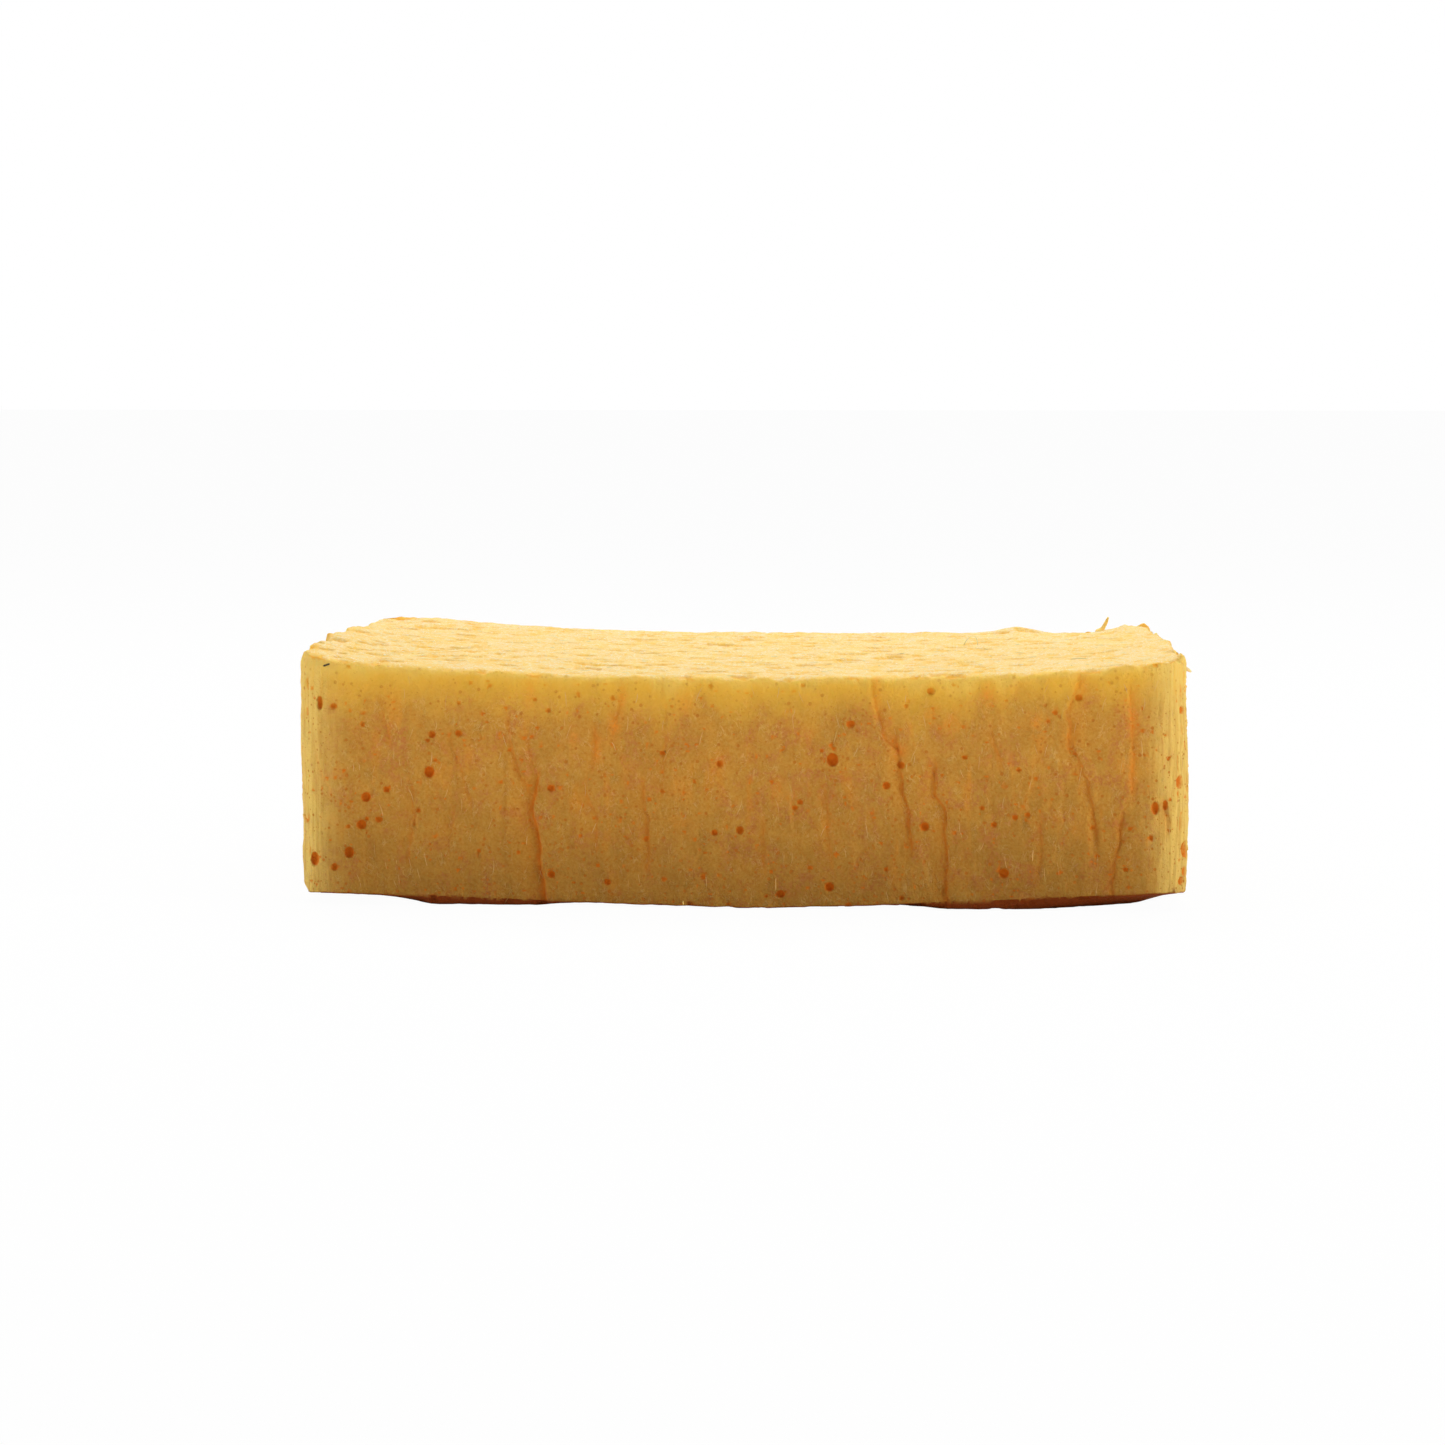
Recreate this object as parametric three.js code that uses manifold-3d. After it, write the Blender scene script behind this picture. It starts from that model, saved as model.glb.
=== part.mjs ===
// Car-wash sponge: one block of cellulose foam with the plant fibres that stick out of it.
//
// Millimetres. X runs along the block's length, the cast front skin faces -Y and +Z is up.
// The origin is the middle of the footprint, in the plane that the block rests on.

import * as THREE from "three";
import { mergeVertices } from "three/addons/utils/BufferGeometryUtils.js";
import Module from "manifold-3d";

// ---- Driving dimensions ----

const LENGTH = 175; // between the two ends
const DEPTH = 110; // from the front skin to the back skin
const THICKNESS = 45.5; // between the cut faces at mid length

// Radius of each upright corner.
const CORNER_RADIUS = { frontLeft: 6, frontRight: 9, backLeft: 11, backRight: 12 };

// How far drying has curled the top face up at each corner, over its height at mid length.
const TOP_CURL = { frontLeft: 3.4, frontRight: 3.2, backLeft: 3.6, backRight: 0.8 };

// How far the lower front edge has lifted off the table at each end, and how far back the lift dies out.
const LIP_LIFT = { left: 2.2, right: 3.2 };
const LIP_REACH = 7;

// Spacing of the block's facets.
const EDGE_BAND = 14; // width of the closely faceted band along each edge
const EDGE_STEPS = 4; // facets across that band
const FACET = 6; // size of a facet elsewhere

// Broken pores along the rim of the left end: how far back from the front skin, and radius.
const RIM_PORES = [
  { back: 12, radius: 2.2 },
  { back: 25, radius: 2.8 },
  { back: 41, radius: 2.4 },
  { back: 62, radius: 3.2 },
  { back: 84, radius: 3.0 },
];
const RIM_PORE_SINK = 0.6; // a rim pore's centre lies this share of its radius outside the corner

// Open pores in the top face: distance in from the left end, distance back from the front, radius.
const TOP_PORES = [
  { along: 9, back: 20, radius: 1.6 },
  { along: 31, back: 46, radius: 2.1 },
  { along: 60, back: 28, radius: 1.7 },
  { along: 78, back: 66, radius: 2.0 },
  { along: 104, back: 40, radius: 1.8 },
  { along: 131, back: 70, radius: 1.9 },
  { along: 152, back: 58, radius: 2.2 },
];
const TOP_PORE_SINK = 0.35; // a top pore's centre lies this share of its radius above the face

const SOCKET_GAP = 0.3; // clearance between a fibre and the socket that holds its root

// Fibres that stand out of the foam. Each has a radius, and a root depth below the surface.
const STRAND = { radius: 0.4, root: 2.2, standing: 4.2, inFromRight: 13, inFromBack: 3 };
const STRAND_LEAN = new THREE.Vector3(0.58, 0, 0.82).normalize();
const BARB = { radius: 0.35, root: 1.6, standing: 1.3, back: 9, belowTop: 2.2 };
const TAG = { radius: 0.3, root: 1.5, standing: 0.9, leftOfMiddle: 11, aboveBase: 1.2 };
const CURL = { radius: 0.2, span: 3.2, height: 2.4, root: 1.2, rightOfMiddle: 44, back: 73 };
const EDGE_FIBRE = { radius: 0.22, root: 1.0, run: 3.2, height: 0.75, rightOfMiddle: 65, back: 25 };
const FLECK = { radius: 0.35, root: 1.1, standing: 0.35, inFromLeft: 6.5, belowTop: 0.9 };
const SKIN_FIBRE = { radius: 0.2, root: 1.0, run: 2.8, height: 0.6 };
const LOW_FIBRE_PLACE = { along: 7, up: 3.6 }; // right of the middle, above the base
const RIGHT_FIBRE_PLACE = { along: 57, up: 9.5 };

const ROUND_SIDES = 8; // sides of a fibre and of its socket
const PORE_SIDES = 10;

// ---- Finishes ----

const FOAM = { color: 0xf2c25a, roughness: 0.9, metalness: 0 };
const STRAW = { color: 0xe8b54a, roughness: 0.7, metalness: 0 };
const PALE = { color: 0xfbe7b4, roughness: 0.6, metalness: 0 };
const HUSK = { color: 0x4a3413, roughness: 0.8, metalness: 0 };

// ---- Solids ----

const wasm = await Module();
wasm.setup();

/** The closed solid that a geometry's triangles bound. */
function solidOf(geometry) {
  const bare = geometry.clone();
  bare.deleteAttribute("normal");
  bare.deleteAttribute("uv");
  const merged = mergeVertices(bare, 1e-4);
  return new wasm.Manifold(
    new wasm.Mesh({
      numProp: 3,
      vertProperties: new Float32Array(merged.attributes.position.array),
      triVerts: new Uint32Array(merged.index.array),
    }),
  );
}

/** The geometry of a solid's surface. */
function geometryOf(solid) {
  const mesh = solid.getMesh();
  const geometry = new THREE.BufferGeometry();
  geometry.setAttribute("position", new THREE.BufferAttribute(mesh.vertProperties, mesh.numProp));
  geometry.setIndex(new THREE.BufferAttribute(mesh.triVerts, 1));
  geometry.computeVertexNormals();
  return geometry;
}

/** A named part of the group. */
function part(name, geometry, finish) {
  const mesh = new THREE.Mesh(geometry, new THREE.MeshStandardMaterial(finish));
  mesh.name = name;
  return mesh;
}

// ---- The block's surface ----

/** Facet lines from -half to half: closely spaced near both ends, and evenly in between. */
function facetLines(half) {
  const middle = 2 * (half - EDGE_BAND);
  const middleSteps = Math.max(1, Math.round(middle / FACET));
  const lines = [];
  for (let i = 0; i < EDGE_STEPS; i += 1) {
    lines.push(-half + (EDGE_BAND * i) / EDGE_STEPS);
  }
  for (let i = 0; i <= middleSteps; i += 1) {
    lines.push(-half + EDGE_BAND + (middle * i) / middleSteps);
  }
  for (let i = 1; i <= EDGE_STEPS; i += 1) {
    lines.push(half - EDGE_BAND + (EDGE_BAND * i) / EDGE_STEPS);
  }
  return lines;
}

/** A point of the rectangular plan, moved onto the plan with round corners. */
function roundedPlan(x, y) {
  const corner = (y < 0 ? "front" : "back") + (x < 0 ? "Left" : "Right");
  const radius = CORNER_RADIUS[corner];
  const pastX = Math.abs(x) - (LENGTH / 2 - radius);
  const pastY = Math.abs(y) - (DEPTH / 2 - radius);
  if (pastX <= 0 || pastY <= 0) {
    return { x, y };
  }
  const pull = Math.max(pastX, pastY) / Math.hypot(pastX, pastY) - 1;
  return { x: x + Math.sign(x) * pastX * pull, y: y + Math.sign(y) * pastY * pull };
}

/** Height of the top face over the table. */
function topHeight(x, y) {
  const side = x < 0 ? "Left" : "Right";
  const rise = THREE.MathUtils.lerp(TOP_CURL[`front${side}`], TOP_CURL[`back${side}`], y / DEPTH + 0.5);
  return THICKNESS + rise * ((2 * x) / LENGTH) ** 2;
}

/** Height of the underside over the table: nothing, except under the lifted front lip. */
function baseHeight(x, y) {
  const lift = x < 0 ? LIP_LIFT.left : LIP_LIFT.right;
  const reach = Math.max(0, 1 - (y + DEPTH / 2) / LIP_REACH);
  return lift * ((2 * x) / LENGTH) ** 2 * reach ** 2;
}

/** The block before any pore is opened: a faceted box whose corners, top and lip are shaped. */
function blockBlank() {
  const xLines = facetLines(LENGTH / 2);
  const yLines = facetLines(DEPTH / 2);
  const zSteps = Math.round(THICKNESS / FACET);
  const box = new THREE.BoxGeometry(1, 1, 1, xLines.length - 1, yLines.length - 1, zSteps);
  const points = box.attributes.position;
  for (let i = 0; i < points.count; i += 1) {
    const column = Math.round((points.getX(i) + 0.5) * (xLines.length - 1));
    const row = Math.round((points.getY(i) + 0.5) * (yLines.length - 1));
    const up = points.getZ(i) + 0.5;
    const { x, y } = roundedPlan(xLines[column], yLines[row]);
    points.setXYZ(i, x, y, THREE.MathUtils.lerp(baseHeight(x, y), topHeight(x, y), up));
  }
  return box;
}

/** A ball-shaped pore, placed by its centre. */
function pore(centre, radius) {
  const ball = new THREE.SphereGeometry(radius, PORE_SIDES, PORE_SIDES - 2);
  return ball.translate(centre.x, centre.y, centre.z);
}

/** The broken pores along the left rim. */
function rimPores() {
  return RIM_PORES.map(({ back, radius }) => {
    const y = -DEPTH / 2 + back;
    const edge = new THREE.Vector3(-LENGTH / 2, y, topHeight(-LENGTH / 2, y));
    const outward = new THREE.Vector3(-1, 0, 1).normalize();
    return pore(edge.addScaledVector(outward, RIM_PORE_SINK * radius), radius);
  });
}

/** The open pores in the top face. */
function topPores() {
  return TOP_PORES.map(({ along, back, radius }) => {
    const x = -LENGTH / 2 + along;
    const y = -DEPTH / 2 + back;
    return pore(new THREE.Vector3(x, y, topHeight(x, y) + TOP_PORE_SINK * radius), radius);
  });
}

// ---- Fibres ----

/** A needle from its root to its tip: straight sides, then a point over the last third. */
function needle(from, direction, fibre) {
  const length = fibre.root + fibre.standing;
  const profile = [
    new THREE.Vector2(0, 0),
    new THREE.Vector2(fibre.radius, 0),
    new THREE.Vector2(fibre.radius, (2 / 3) * length),
    new THREE.Vector2(0, length),
  ];
  const geometry = new THREE.LatheGeometry(profile, ROUND_SIDES);
  const turn = new THREE.Quaternion().setFromUnitVectors(new THREE.Vector3(0, 1, 0), direction);
  return geometry
    .applyQuaternion(turn)
    .translate(...from.clone().addScaledVector(direction, -fibre.root).toArray());
}

/** A thread of even thickness along a smooth curve through the points. */
function thread(points, radius) {
  const section = new THREE.Shape();
  section.absarc(0, 0, radius, 0, 2 * Math.PI);
  return new THREE.ExtrudeGeometry(section, {
    curveSegments: ROUND_SIDES / 2,
    steps: 4 * (points.length - 1),
    bevelEnabled: false,
    extrudePath: new THREE.CatmullRomCurve3(points),
  });
}

/** The round socket that clears a fibre's root, from outside the surface to below the root. */
function socket(surface, direction, fibre) {
  const depth = fibre.root + 2 * SOCKET_GAP;
  const mouth = 4 * SOCKET_GAP;
  const bore = new THREE.CylinderGeometry(
    fibre.radius + SOCKET_GAP,
    fibre.radius + SOCKET_GAP,
    depth + mouth,
    ROUND_SIDES,
  );
  const turn = new THREE.Quaternion().setFromUnitVectors(new THREE.Vector3(0, 1, 0), direction);
  const middle = surface.clone().addScaledVector(direction, (mouth - depth) / 2);
  return bore.applyQuaternion(turn).translate(...middle.toArray());
}

/** A fibre that stands straight out, with its socket. */
function standingFibre(name, surface, direction, fibre, finish) {
  return {
    mesh: part(name, needle(surface, direction, fibre), finish),
    sockets: [socket(surface, direction, fibre)],
  };
}

/** A fibre with both ends rooted, arched over a span of the surface, with its two sockets. */
function archedFibre(name, start, end, outward, fibre, finish) {
  const crown = start.clone().add(end).multiplyScalar(0.5).addScaledVector(outward, fibre.height);
  const points = [
    start.clone().addScaledVector(outward, -fibre.root),
    start,
    crown,
    end,
    end.clone().addScaledVector(outward, -fibre.root),
  ];
  return {
    mesh: part(name, thread(points, fibre.radius), finish),
    sockets: [socket(start, outward, fibre), socket(end, outward, fibre)],
  };
}

/** A point on the top face, from its place in plan. */
function onTop(x, y) {
  return new THREE.Vector3(x, y, topHeight(x, y));
}

/** The coarse fibre that stands up near the rear right corner. */
function rearStrand() {
  const root = onTop(LENGTH / 2 - STRAND.inFromRight, DEPTH / 2 - STRAND.inFromBack);
  return standingFibre("rear_strand", root, STRAND_LEAN, STRAND, STRAW);
}

/** The short stiff fibre at the top of the right end. */
function endBarb() {
  const y = -DEPTH / 2 + CORNER_RADIUS.frontRight + BARB.back;
  const root = new THREE.Vector3(LENGTH / 2, y, topHeight(LENGTH / 2, y) - BARB.belowTop);
  return standingFibre("end_barb", root, new THREE.Vector3(0.8, 0, -0.6), BARB, PALE);
}

/** The short fibre that sticks out over the lower front edge. */
function bottomBarb() {
  const root = new THREE.Vector3(-TAG.leftOfMiddle, -DEPTH / 2, TAG.aboveBase);
  return standingFibre("bottom_barb", root, new THREE.Vector3(0, -1, 0), TAG, STRAW);
}

/** The dark fleck of husk in the skin at the top left. */
function branFleck() {
  const x = -LENGTH / 2 + FLECK.inFromLeft;
  const root = new THREE.Vector3(x, -DEPTH / 2, topHeight(x, -DEPTH / 2) - FLECK.belowTop);
  return standingFibre("bran_fleck", root, new THREE.Vector3(0, -1, 0), FLECK, HUSK);
}

/** The thin fibre arched over the top face. */
function topCurl() {
  const y = -DEPTH / 2 + CURL.back;
  const start = onTop(CURL.rightOfMiddle, y);
  const end = onTop(CURL.rightOfMiddle + CURL.span, y);
  return archedFibre("top_curl", start, end, new THREE.Vector3(0, 0, 1), CURL, PALE);
}

/** The white fibre that lies along the top face, a quarter of the way back. */
function edgeFibre() {
  const y = -DEPTH / 2 + EDGE_FIBRE.back;
  const start = onTop(EDGE_FIBRE.rightOfMiddle, y);
  const end = onTop(EDGE_FIBRE.rightOfMiddle + EDGE_FIBRE.run, y);
  return archedFibre("edge_fibre", start, end, new THREE.Vector3(0, 0, 1), EDGE_FIBRE, PALE);
}

/** A fine fibre that lies upright on the front skin. */
function skinFibre(name, place) {
  const start = new THREE.Vector3(place.along, -DEPTH / 2, place.up);
  const end = start.clone().add(new THREE.Vector3(0, 0, SKIN_FIBRE.run));
  return archedFibre(name, start, end, new THREE.Vector3(0, -1, 0), SKIN_FIBRE, PALE);
}

// ---- Assembly ----

const fibres = [
  rearStrand(),
  endBarb(),
  bottomBarb(),
  branFleck(),
  topCurl(),
  edgeFibre(),
  skinFibre("skin_fibre_low", LOW_FIBRE_PLACE),
  skinFibre("skin_fibre_right", RIGHT_FIBRE_PLACE),
];

/** The foam block, with its open pores and the sockets of all the fibres cut out of it. */
function spongeBlock() {
  const cuts = [...rimPores(), ...topPores(), ...fibres.flatMap((fibre) => fibre.sockets)];
  const block = cuts.reduce((solid, cut) => solid.subtract(solidOf(cut)), solidOf(blockBlank()));
  return part("sponge_block", geometryOf(block), FOAM);
}

const sponge = new THREE.Group();
sponge.add(spongeBlock(), ...fibres.map((fibre) => fibre.mesh));

export default sponge;
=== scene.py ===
"""A cellulose sponge for washing cars: one dried, slightly curled foam block with its stray fibres.

Lengths in the classes below are in millimetres unless a name says otherwise. Blender's own lengths are
metres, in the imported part's frame: +X along the block, -Y out of the front skin, +Z up.
"""

from __future__ import annotations

import logging
import math
from dataclasses import dataclass, field
from enum import Enum

import bpy
import numpy as np
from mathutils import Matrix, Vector
from mathutils.bvhtree import BVHTree


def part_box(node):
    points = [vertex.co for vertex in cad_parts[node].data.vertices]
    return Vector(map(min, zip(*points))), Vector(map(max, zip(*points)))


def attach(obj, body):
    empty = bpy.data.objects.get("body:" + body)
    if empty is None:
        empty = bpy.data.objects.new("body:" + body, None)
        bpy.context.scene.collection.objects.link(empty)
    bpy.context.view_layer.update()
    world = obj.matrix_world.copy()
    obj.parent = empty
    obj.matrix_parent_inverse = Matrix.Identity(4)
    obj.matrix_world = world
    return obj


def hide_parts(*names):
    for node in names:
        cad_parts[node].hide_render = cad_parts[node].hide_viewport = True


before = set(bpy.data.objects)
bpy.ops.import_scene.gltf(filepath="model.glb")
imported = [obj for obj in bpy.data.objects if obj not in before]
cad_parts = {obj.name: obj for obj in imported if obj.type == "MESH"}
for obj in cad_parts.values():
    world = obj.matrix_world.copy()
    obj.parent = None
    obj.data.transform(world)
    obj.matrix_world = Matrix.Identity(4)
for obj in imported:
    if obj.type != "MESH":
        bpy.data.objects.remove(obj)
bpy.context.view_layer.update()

MM = 0.001
LOG = logging.getLogger("sponge")

Color = tuple[float, float, float]
Point = tuple[float, float, float]


# ---- Random fields and easing ----


@dataclass(frozen=True)
class Noise:
    """A smooth random field in space, the same on every run.

    seed picks the field, cell is the size of its lumps along X, Y and Z, and each octave lays a field of
    half the size and half the strength over the one before.
    """

    seed: int
    cell: Point
    octaves: int = 1

    def _corner(self, cell: np.ndarray, offset: tuple[int, int, int], seed: int) -> np.ndarray:
        """Random values at one corner of every cell.

        Args:
            cell: whole-number cell of each point, one row each.
            offset: which of the cell's eight corners.
            seed: the octave's seed.

        Returns:
            One value from -1 to 1 for each row.
        """
        corner = (cell + np.array(offset)).astype(np.uint32)
        mixed = corner[:, 0] * np.uint32(374761393) + corner[:, 1] * np.uint32(668265263)
        mixed = mixed + corner[:, 2] * np.uint32(2147483647) + np.uint32(seed * 1013904223 % 2**32)
        mixed = (mixed ^ (mixed >> np.uint32(13))) * np.uint32(1274126177)
        mixed = (mixed ^ (mixed >> np.uint32(16))) * np.uint32(2246822519)
        mixed = mixed ^ (mixed >> np.uint32(13))
        return mixed.astype(np.float64) / (2**31) - 1

    def _layer(self, points: np.ndarray, seed: int) -> np.ndarray:
        """One octave of the field.

        Args:
            points: places, in cells.
            seed: the octave's seed.

        Returns:
            One value from -1 to 1 for each point.
        """
        cell = np.floor(points).astype(np.int64)
        part = points - cell
        ease = part * part * (3 - 2 * part)
        total = np.zeros(len(points))
        for dx in (0, 1):
            for dy in (0, 1):
                for dz in (0, 1):
                    share = np.prod(np.where(np.array([dx, dy, dz]) == 1, ease, 1 - ease), axis=1)
                    total += share * self._corner(cell, (dx, dy, dz), seed)
        return total

    def at(self, points: np.ndarray) -> np.ndarray:
        """The field at some places.

        Args:
            points: places in millimetres, one row each.

        Returns:
            One value from about -1 to 1 for each point.
        """
        total = np.zeros(len(points))
        weight = 0.0
        for octave in range(self.octaves):
            share = 0.5**octave
            scaled = points / np.array(self.cell) * 2**octave + 17.3 * octave
            total += share * self._layer(scaled, self.seed + octave)
            weight += share
        return total / weight


def ease(low: float, high: float, value: np.ndarray) -> np.ndarray:
    """A smooth step.

    Args:
        low: where the step starts.
        high: where it ends; below low for a step down.
        value: the values to step.

    Returns:
        0 before low, 1 past high, smooth in between.
    """
    part = np.clip((value - low) / (high - low), 0, 1)
    return part * part * (3 - 2 * part)


def bump(distance: np.ndarray, width: float | np.ndarray) -> np.ndarray:
    """A bell curve, 1 at distance 0."""
    return np.exp(-((distance / width) ** 2))


# ---- Faces of the block ----


class Side(Enum):
    """A face of the block: the axis it looks along, which way, and the two axes that lie in it."""

    FRONT = (1, -1, 0, 2)
    BACK = (1, 1, 0, 2)
    LEFT = (0, -1, 1, 2)
    RIGHT = (0, 1, 1, 2)
    UNDER = (2, -1, 0, 1)
    TOP = (2, 1, 0, 1)

    @property
    def axis(self) -> int:
        """The axis that the face looks along."""
        return self.value[0]

    @property
    def sign(self) -> int:
        """1 for the face at the high end of its axis, -1 for the other."""
        return self.value[1]

    @property
    def across(self) -> tuple[int, int]:
        """The two axes that lie in the face."""
        return self.value[2], self.value[3]

    @property
    def outward(self) -> np.ndarray:
        """The unit vector that points out of the face."""
        vector = np.zeros(3)
        vector[self.axis] = self.sign
        return vector


@dataclass(frozen=True)
class Form:
    """The block's smooth outer form, before any crease or pore.

    Radii and curls are listed front left, front right, back left, back right.

    lip_lift is how far the front lower edge has lifted off the table at the left and at the right end, and
    lip_power the power of the distance from the middle by which it gets there. The lift dies out lip_reach
    behind the front, and farther back by middle_reach in the middle, by end_reach towards the left and the
    right end, and by corner_reach at the right corner. end_lean is how far the top of the right end leans
    in, foot_lean how far the foot of the left end is tucked in, and heel the radius of the round under
    that end.
    """

    length: float
    depth: float
    height: float
    radii: tuple[float, float, float, float] = (7.5, 9.0, 14.0, 9.0)
    curls: tuple[float, float, float, float] = (3.2, 3.2, 3.6, 0.8)
    lip_lift: tuple[float, float] = (2.45, 4.0)
    lip_power: tuple[float, float] = (1.05, 1.35)
    lip_reach: float = 1.8
    middle_reach: float = 10.0
    end_reach: tuple[float, float] = (28.0, 22.0)
    corner_reach: float = 24.0
    rim_radius: float = 1.7
    base_radius: float = 0.5
    end_lean: float = 0.9
    foot_lean: float = 0.35
    heel: float = 2.6

    @property
    def thickness(self) -> float:
        """Height of the top face at mid length: the whole height less the highest curl."""
        return self.height - max(self.curls)

    def by_corner(self, x: np.ndarray, y: np.ndarray, values: tuple) -> np.ndarray:
        """The value of the corner nearest to each place.

        Args:
            x: places along the block.
            y: places across it.
            values: one value for each corner.

        Returns:
            One value for each place.
        """
        return np.array(values)[(x > 0).astype(int) + 2 * (y > 0).astype(int)]

    def rim(self, x: np.ndarray, y: np.ndarray) -> tuple[np.ndarray, np.ndarray]:
        """How far each place of the plan is inside the outline, and which way is out.

        Args:
            x: places along the block.
            y: places across it.

        Returns:
            The distances, and the outward unit vectors, whose Z is 0.
        """
        radius = self.by_corner(x, y, self.radii)
        past = np.stack([np.abs(x) - self.length / 2 + radius, np.abs(y) - self.depth / 2 + radius], axis=1)
        beyond = np.maximum(past, 0)
        distance = radius - np.hypot(beyond[:, 0], beyond[:, 1]) - np.minimum(past.max(axis=1), 0)
        flat = np.where((past[:, :1] > past[:, 1:]), [[1.0, 0.0]], [[0.0, 1.0]])
        way = np.where(past.min(axis=1, keepdims=True) > 0, past, flat)
        way = way / np.linalg.norm(way, axis=1, keepdims=True)
        out = np.stack([way[:, 0] * np.sign(x), way[:, 1] * np.sign(y), np.zeros(len(x))], axis=1)
        return distance, out

    def plan(self, x: np.ndarray, y: np.ndarray) -> tuple[np.ndarray, np.ndarray]:
        """Moves the rectangle's points onto the plan with round corners.

        Args:
            x: places along the block.
            y: places across it.

        Returns:
            The moved places, along and across.
        """
        radius = self.by_corner(x, y, self.radii)
        past_x = np.abs(x) - self.length / 2 + radius
        past_y = np.abs(y) - self.depth / 2 + radius
        corner = (past_x > 0) & (past_y > 0)
        pull = np.maximum(past_x, past_y) / np.maximum(np.hypot(past_x, past_y), 1e-9) - 1
        pull = np.where(corner, pull, 0)
        return x + np.sign(x) * past_x * pull, y + np.sign(y) * past_y * pull

    def top(self, x: np.ndarray, y: np.ndarray) -> np.ndarray:
        """Height of the top face at each place of the plan."""
        right = x > 0
        front = np.where(right, self.curls[1], self.curls[0])
        back = np.where(right, self.curls[3], self.curls[2])
        rise = front + (back - front) * (y / self.depth + 0.5)
        return self.thickness + rise * (2 * x / self.length) ** 2

    def base(self, x: np.ndarray, y: np.ndarray) -> np.ndarray:
        """Height of the underside at each place of the plan: the lifted front lip and the round left heel."""
        share = np.abs(2 * x / self.length)
        left = self.lip_lift[0] * share ** self.lip_power[0]
        right = self.lip_lift[1] * share ** self.lip_power[1]
        toward_left = self.end_reach[0] * ease(0.68, 0.9, share)
        toward_right = self.end_reach[1] * np.clip((share - 0.55) / 0.45, 0, 1) ** 2
        toward_right += self.corner_reach * ease(0.88, 1.0, share)
        reach = self.lip_reach + self.middle_reach * ease(0.47, 0.3, share)
        reach = reach + np.where(x > 0, toward_right, toward_left)
        lip = np.where(x > 0, right, left) * np.clip(1 - (y + self.depth / 2) / reach, 0, 1) ** 2
        into_heel = np.clip(self.heel - (x + self.length / 2), 0, self.heel)
        return lip + self.heel - np.sqrt(self.heel**2 - into_heel**2)

    def place(self, x: np.ndarray, y: np.ndarray, up: np.ndarray) -> np.ndarray:
        """Where the points of the plain box lie on the form.

        Args:
            x: places along the box.
            y: places across it.
            up: share of the height, 0 at the base and 1 at the top.

        Returns:
            Points, one row each.
        """
        inside, out = self.rim(x, y)
        x, y = self.plan(x, y)
        low, high = self.base(x, y), self.top(x, y)
        z = low + (high - low) * up
        nearest = np.where(up > 0.5, high - z, z - low)
        radius = np.where(up > 0.5, self.rim_radius, self.base_radius)
        side = np.clip(radius - inside, 0, None)
        face = np.clip(radius - nearest, 0, None)
        reach = np.maximum(np.maximum(side, face), 1e-9) / np.maximum(np.hypot(side, face), 1e-9)
        turned = (side > 0) & (face > 0)
        inset = np.where(turned, side * (1 - reach), 0)
        drop = np.where(turned, face * (1 - reach), 0)
        lean = self.end_lean * ease(0.75, 1, 2 * x / self.length) * ease(0.15, 1, up)
        lean = lean - self.foot_lean * ease(0.85, 1, -2 * x / self.length) * ease(0.6, 0.25, up)
        points = np.stack([x - lean, y, z - np.sign(up - 0.5) * drop], axis=1)
        return points - out * inset[:, None]


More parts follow.
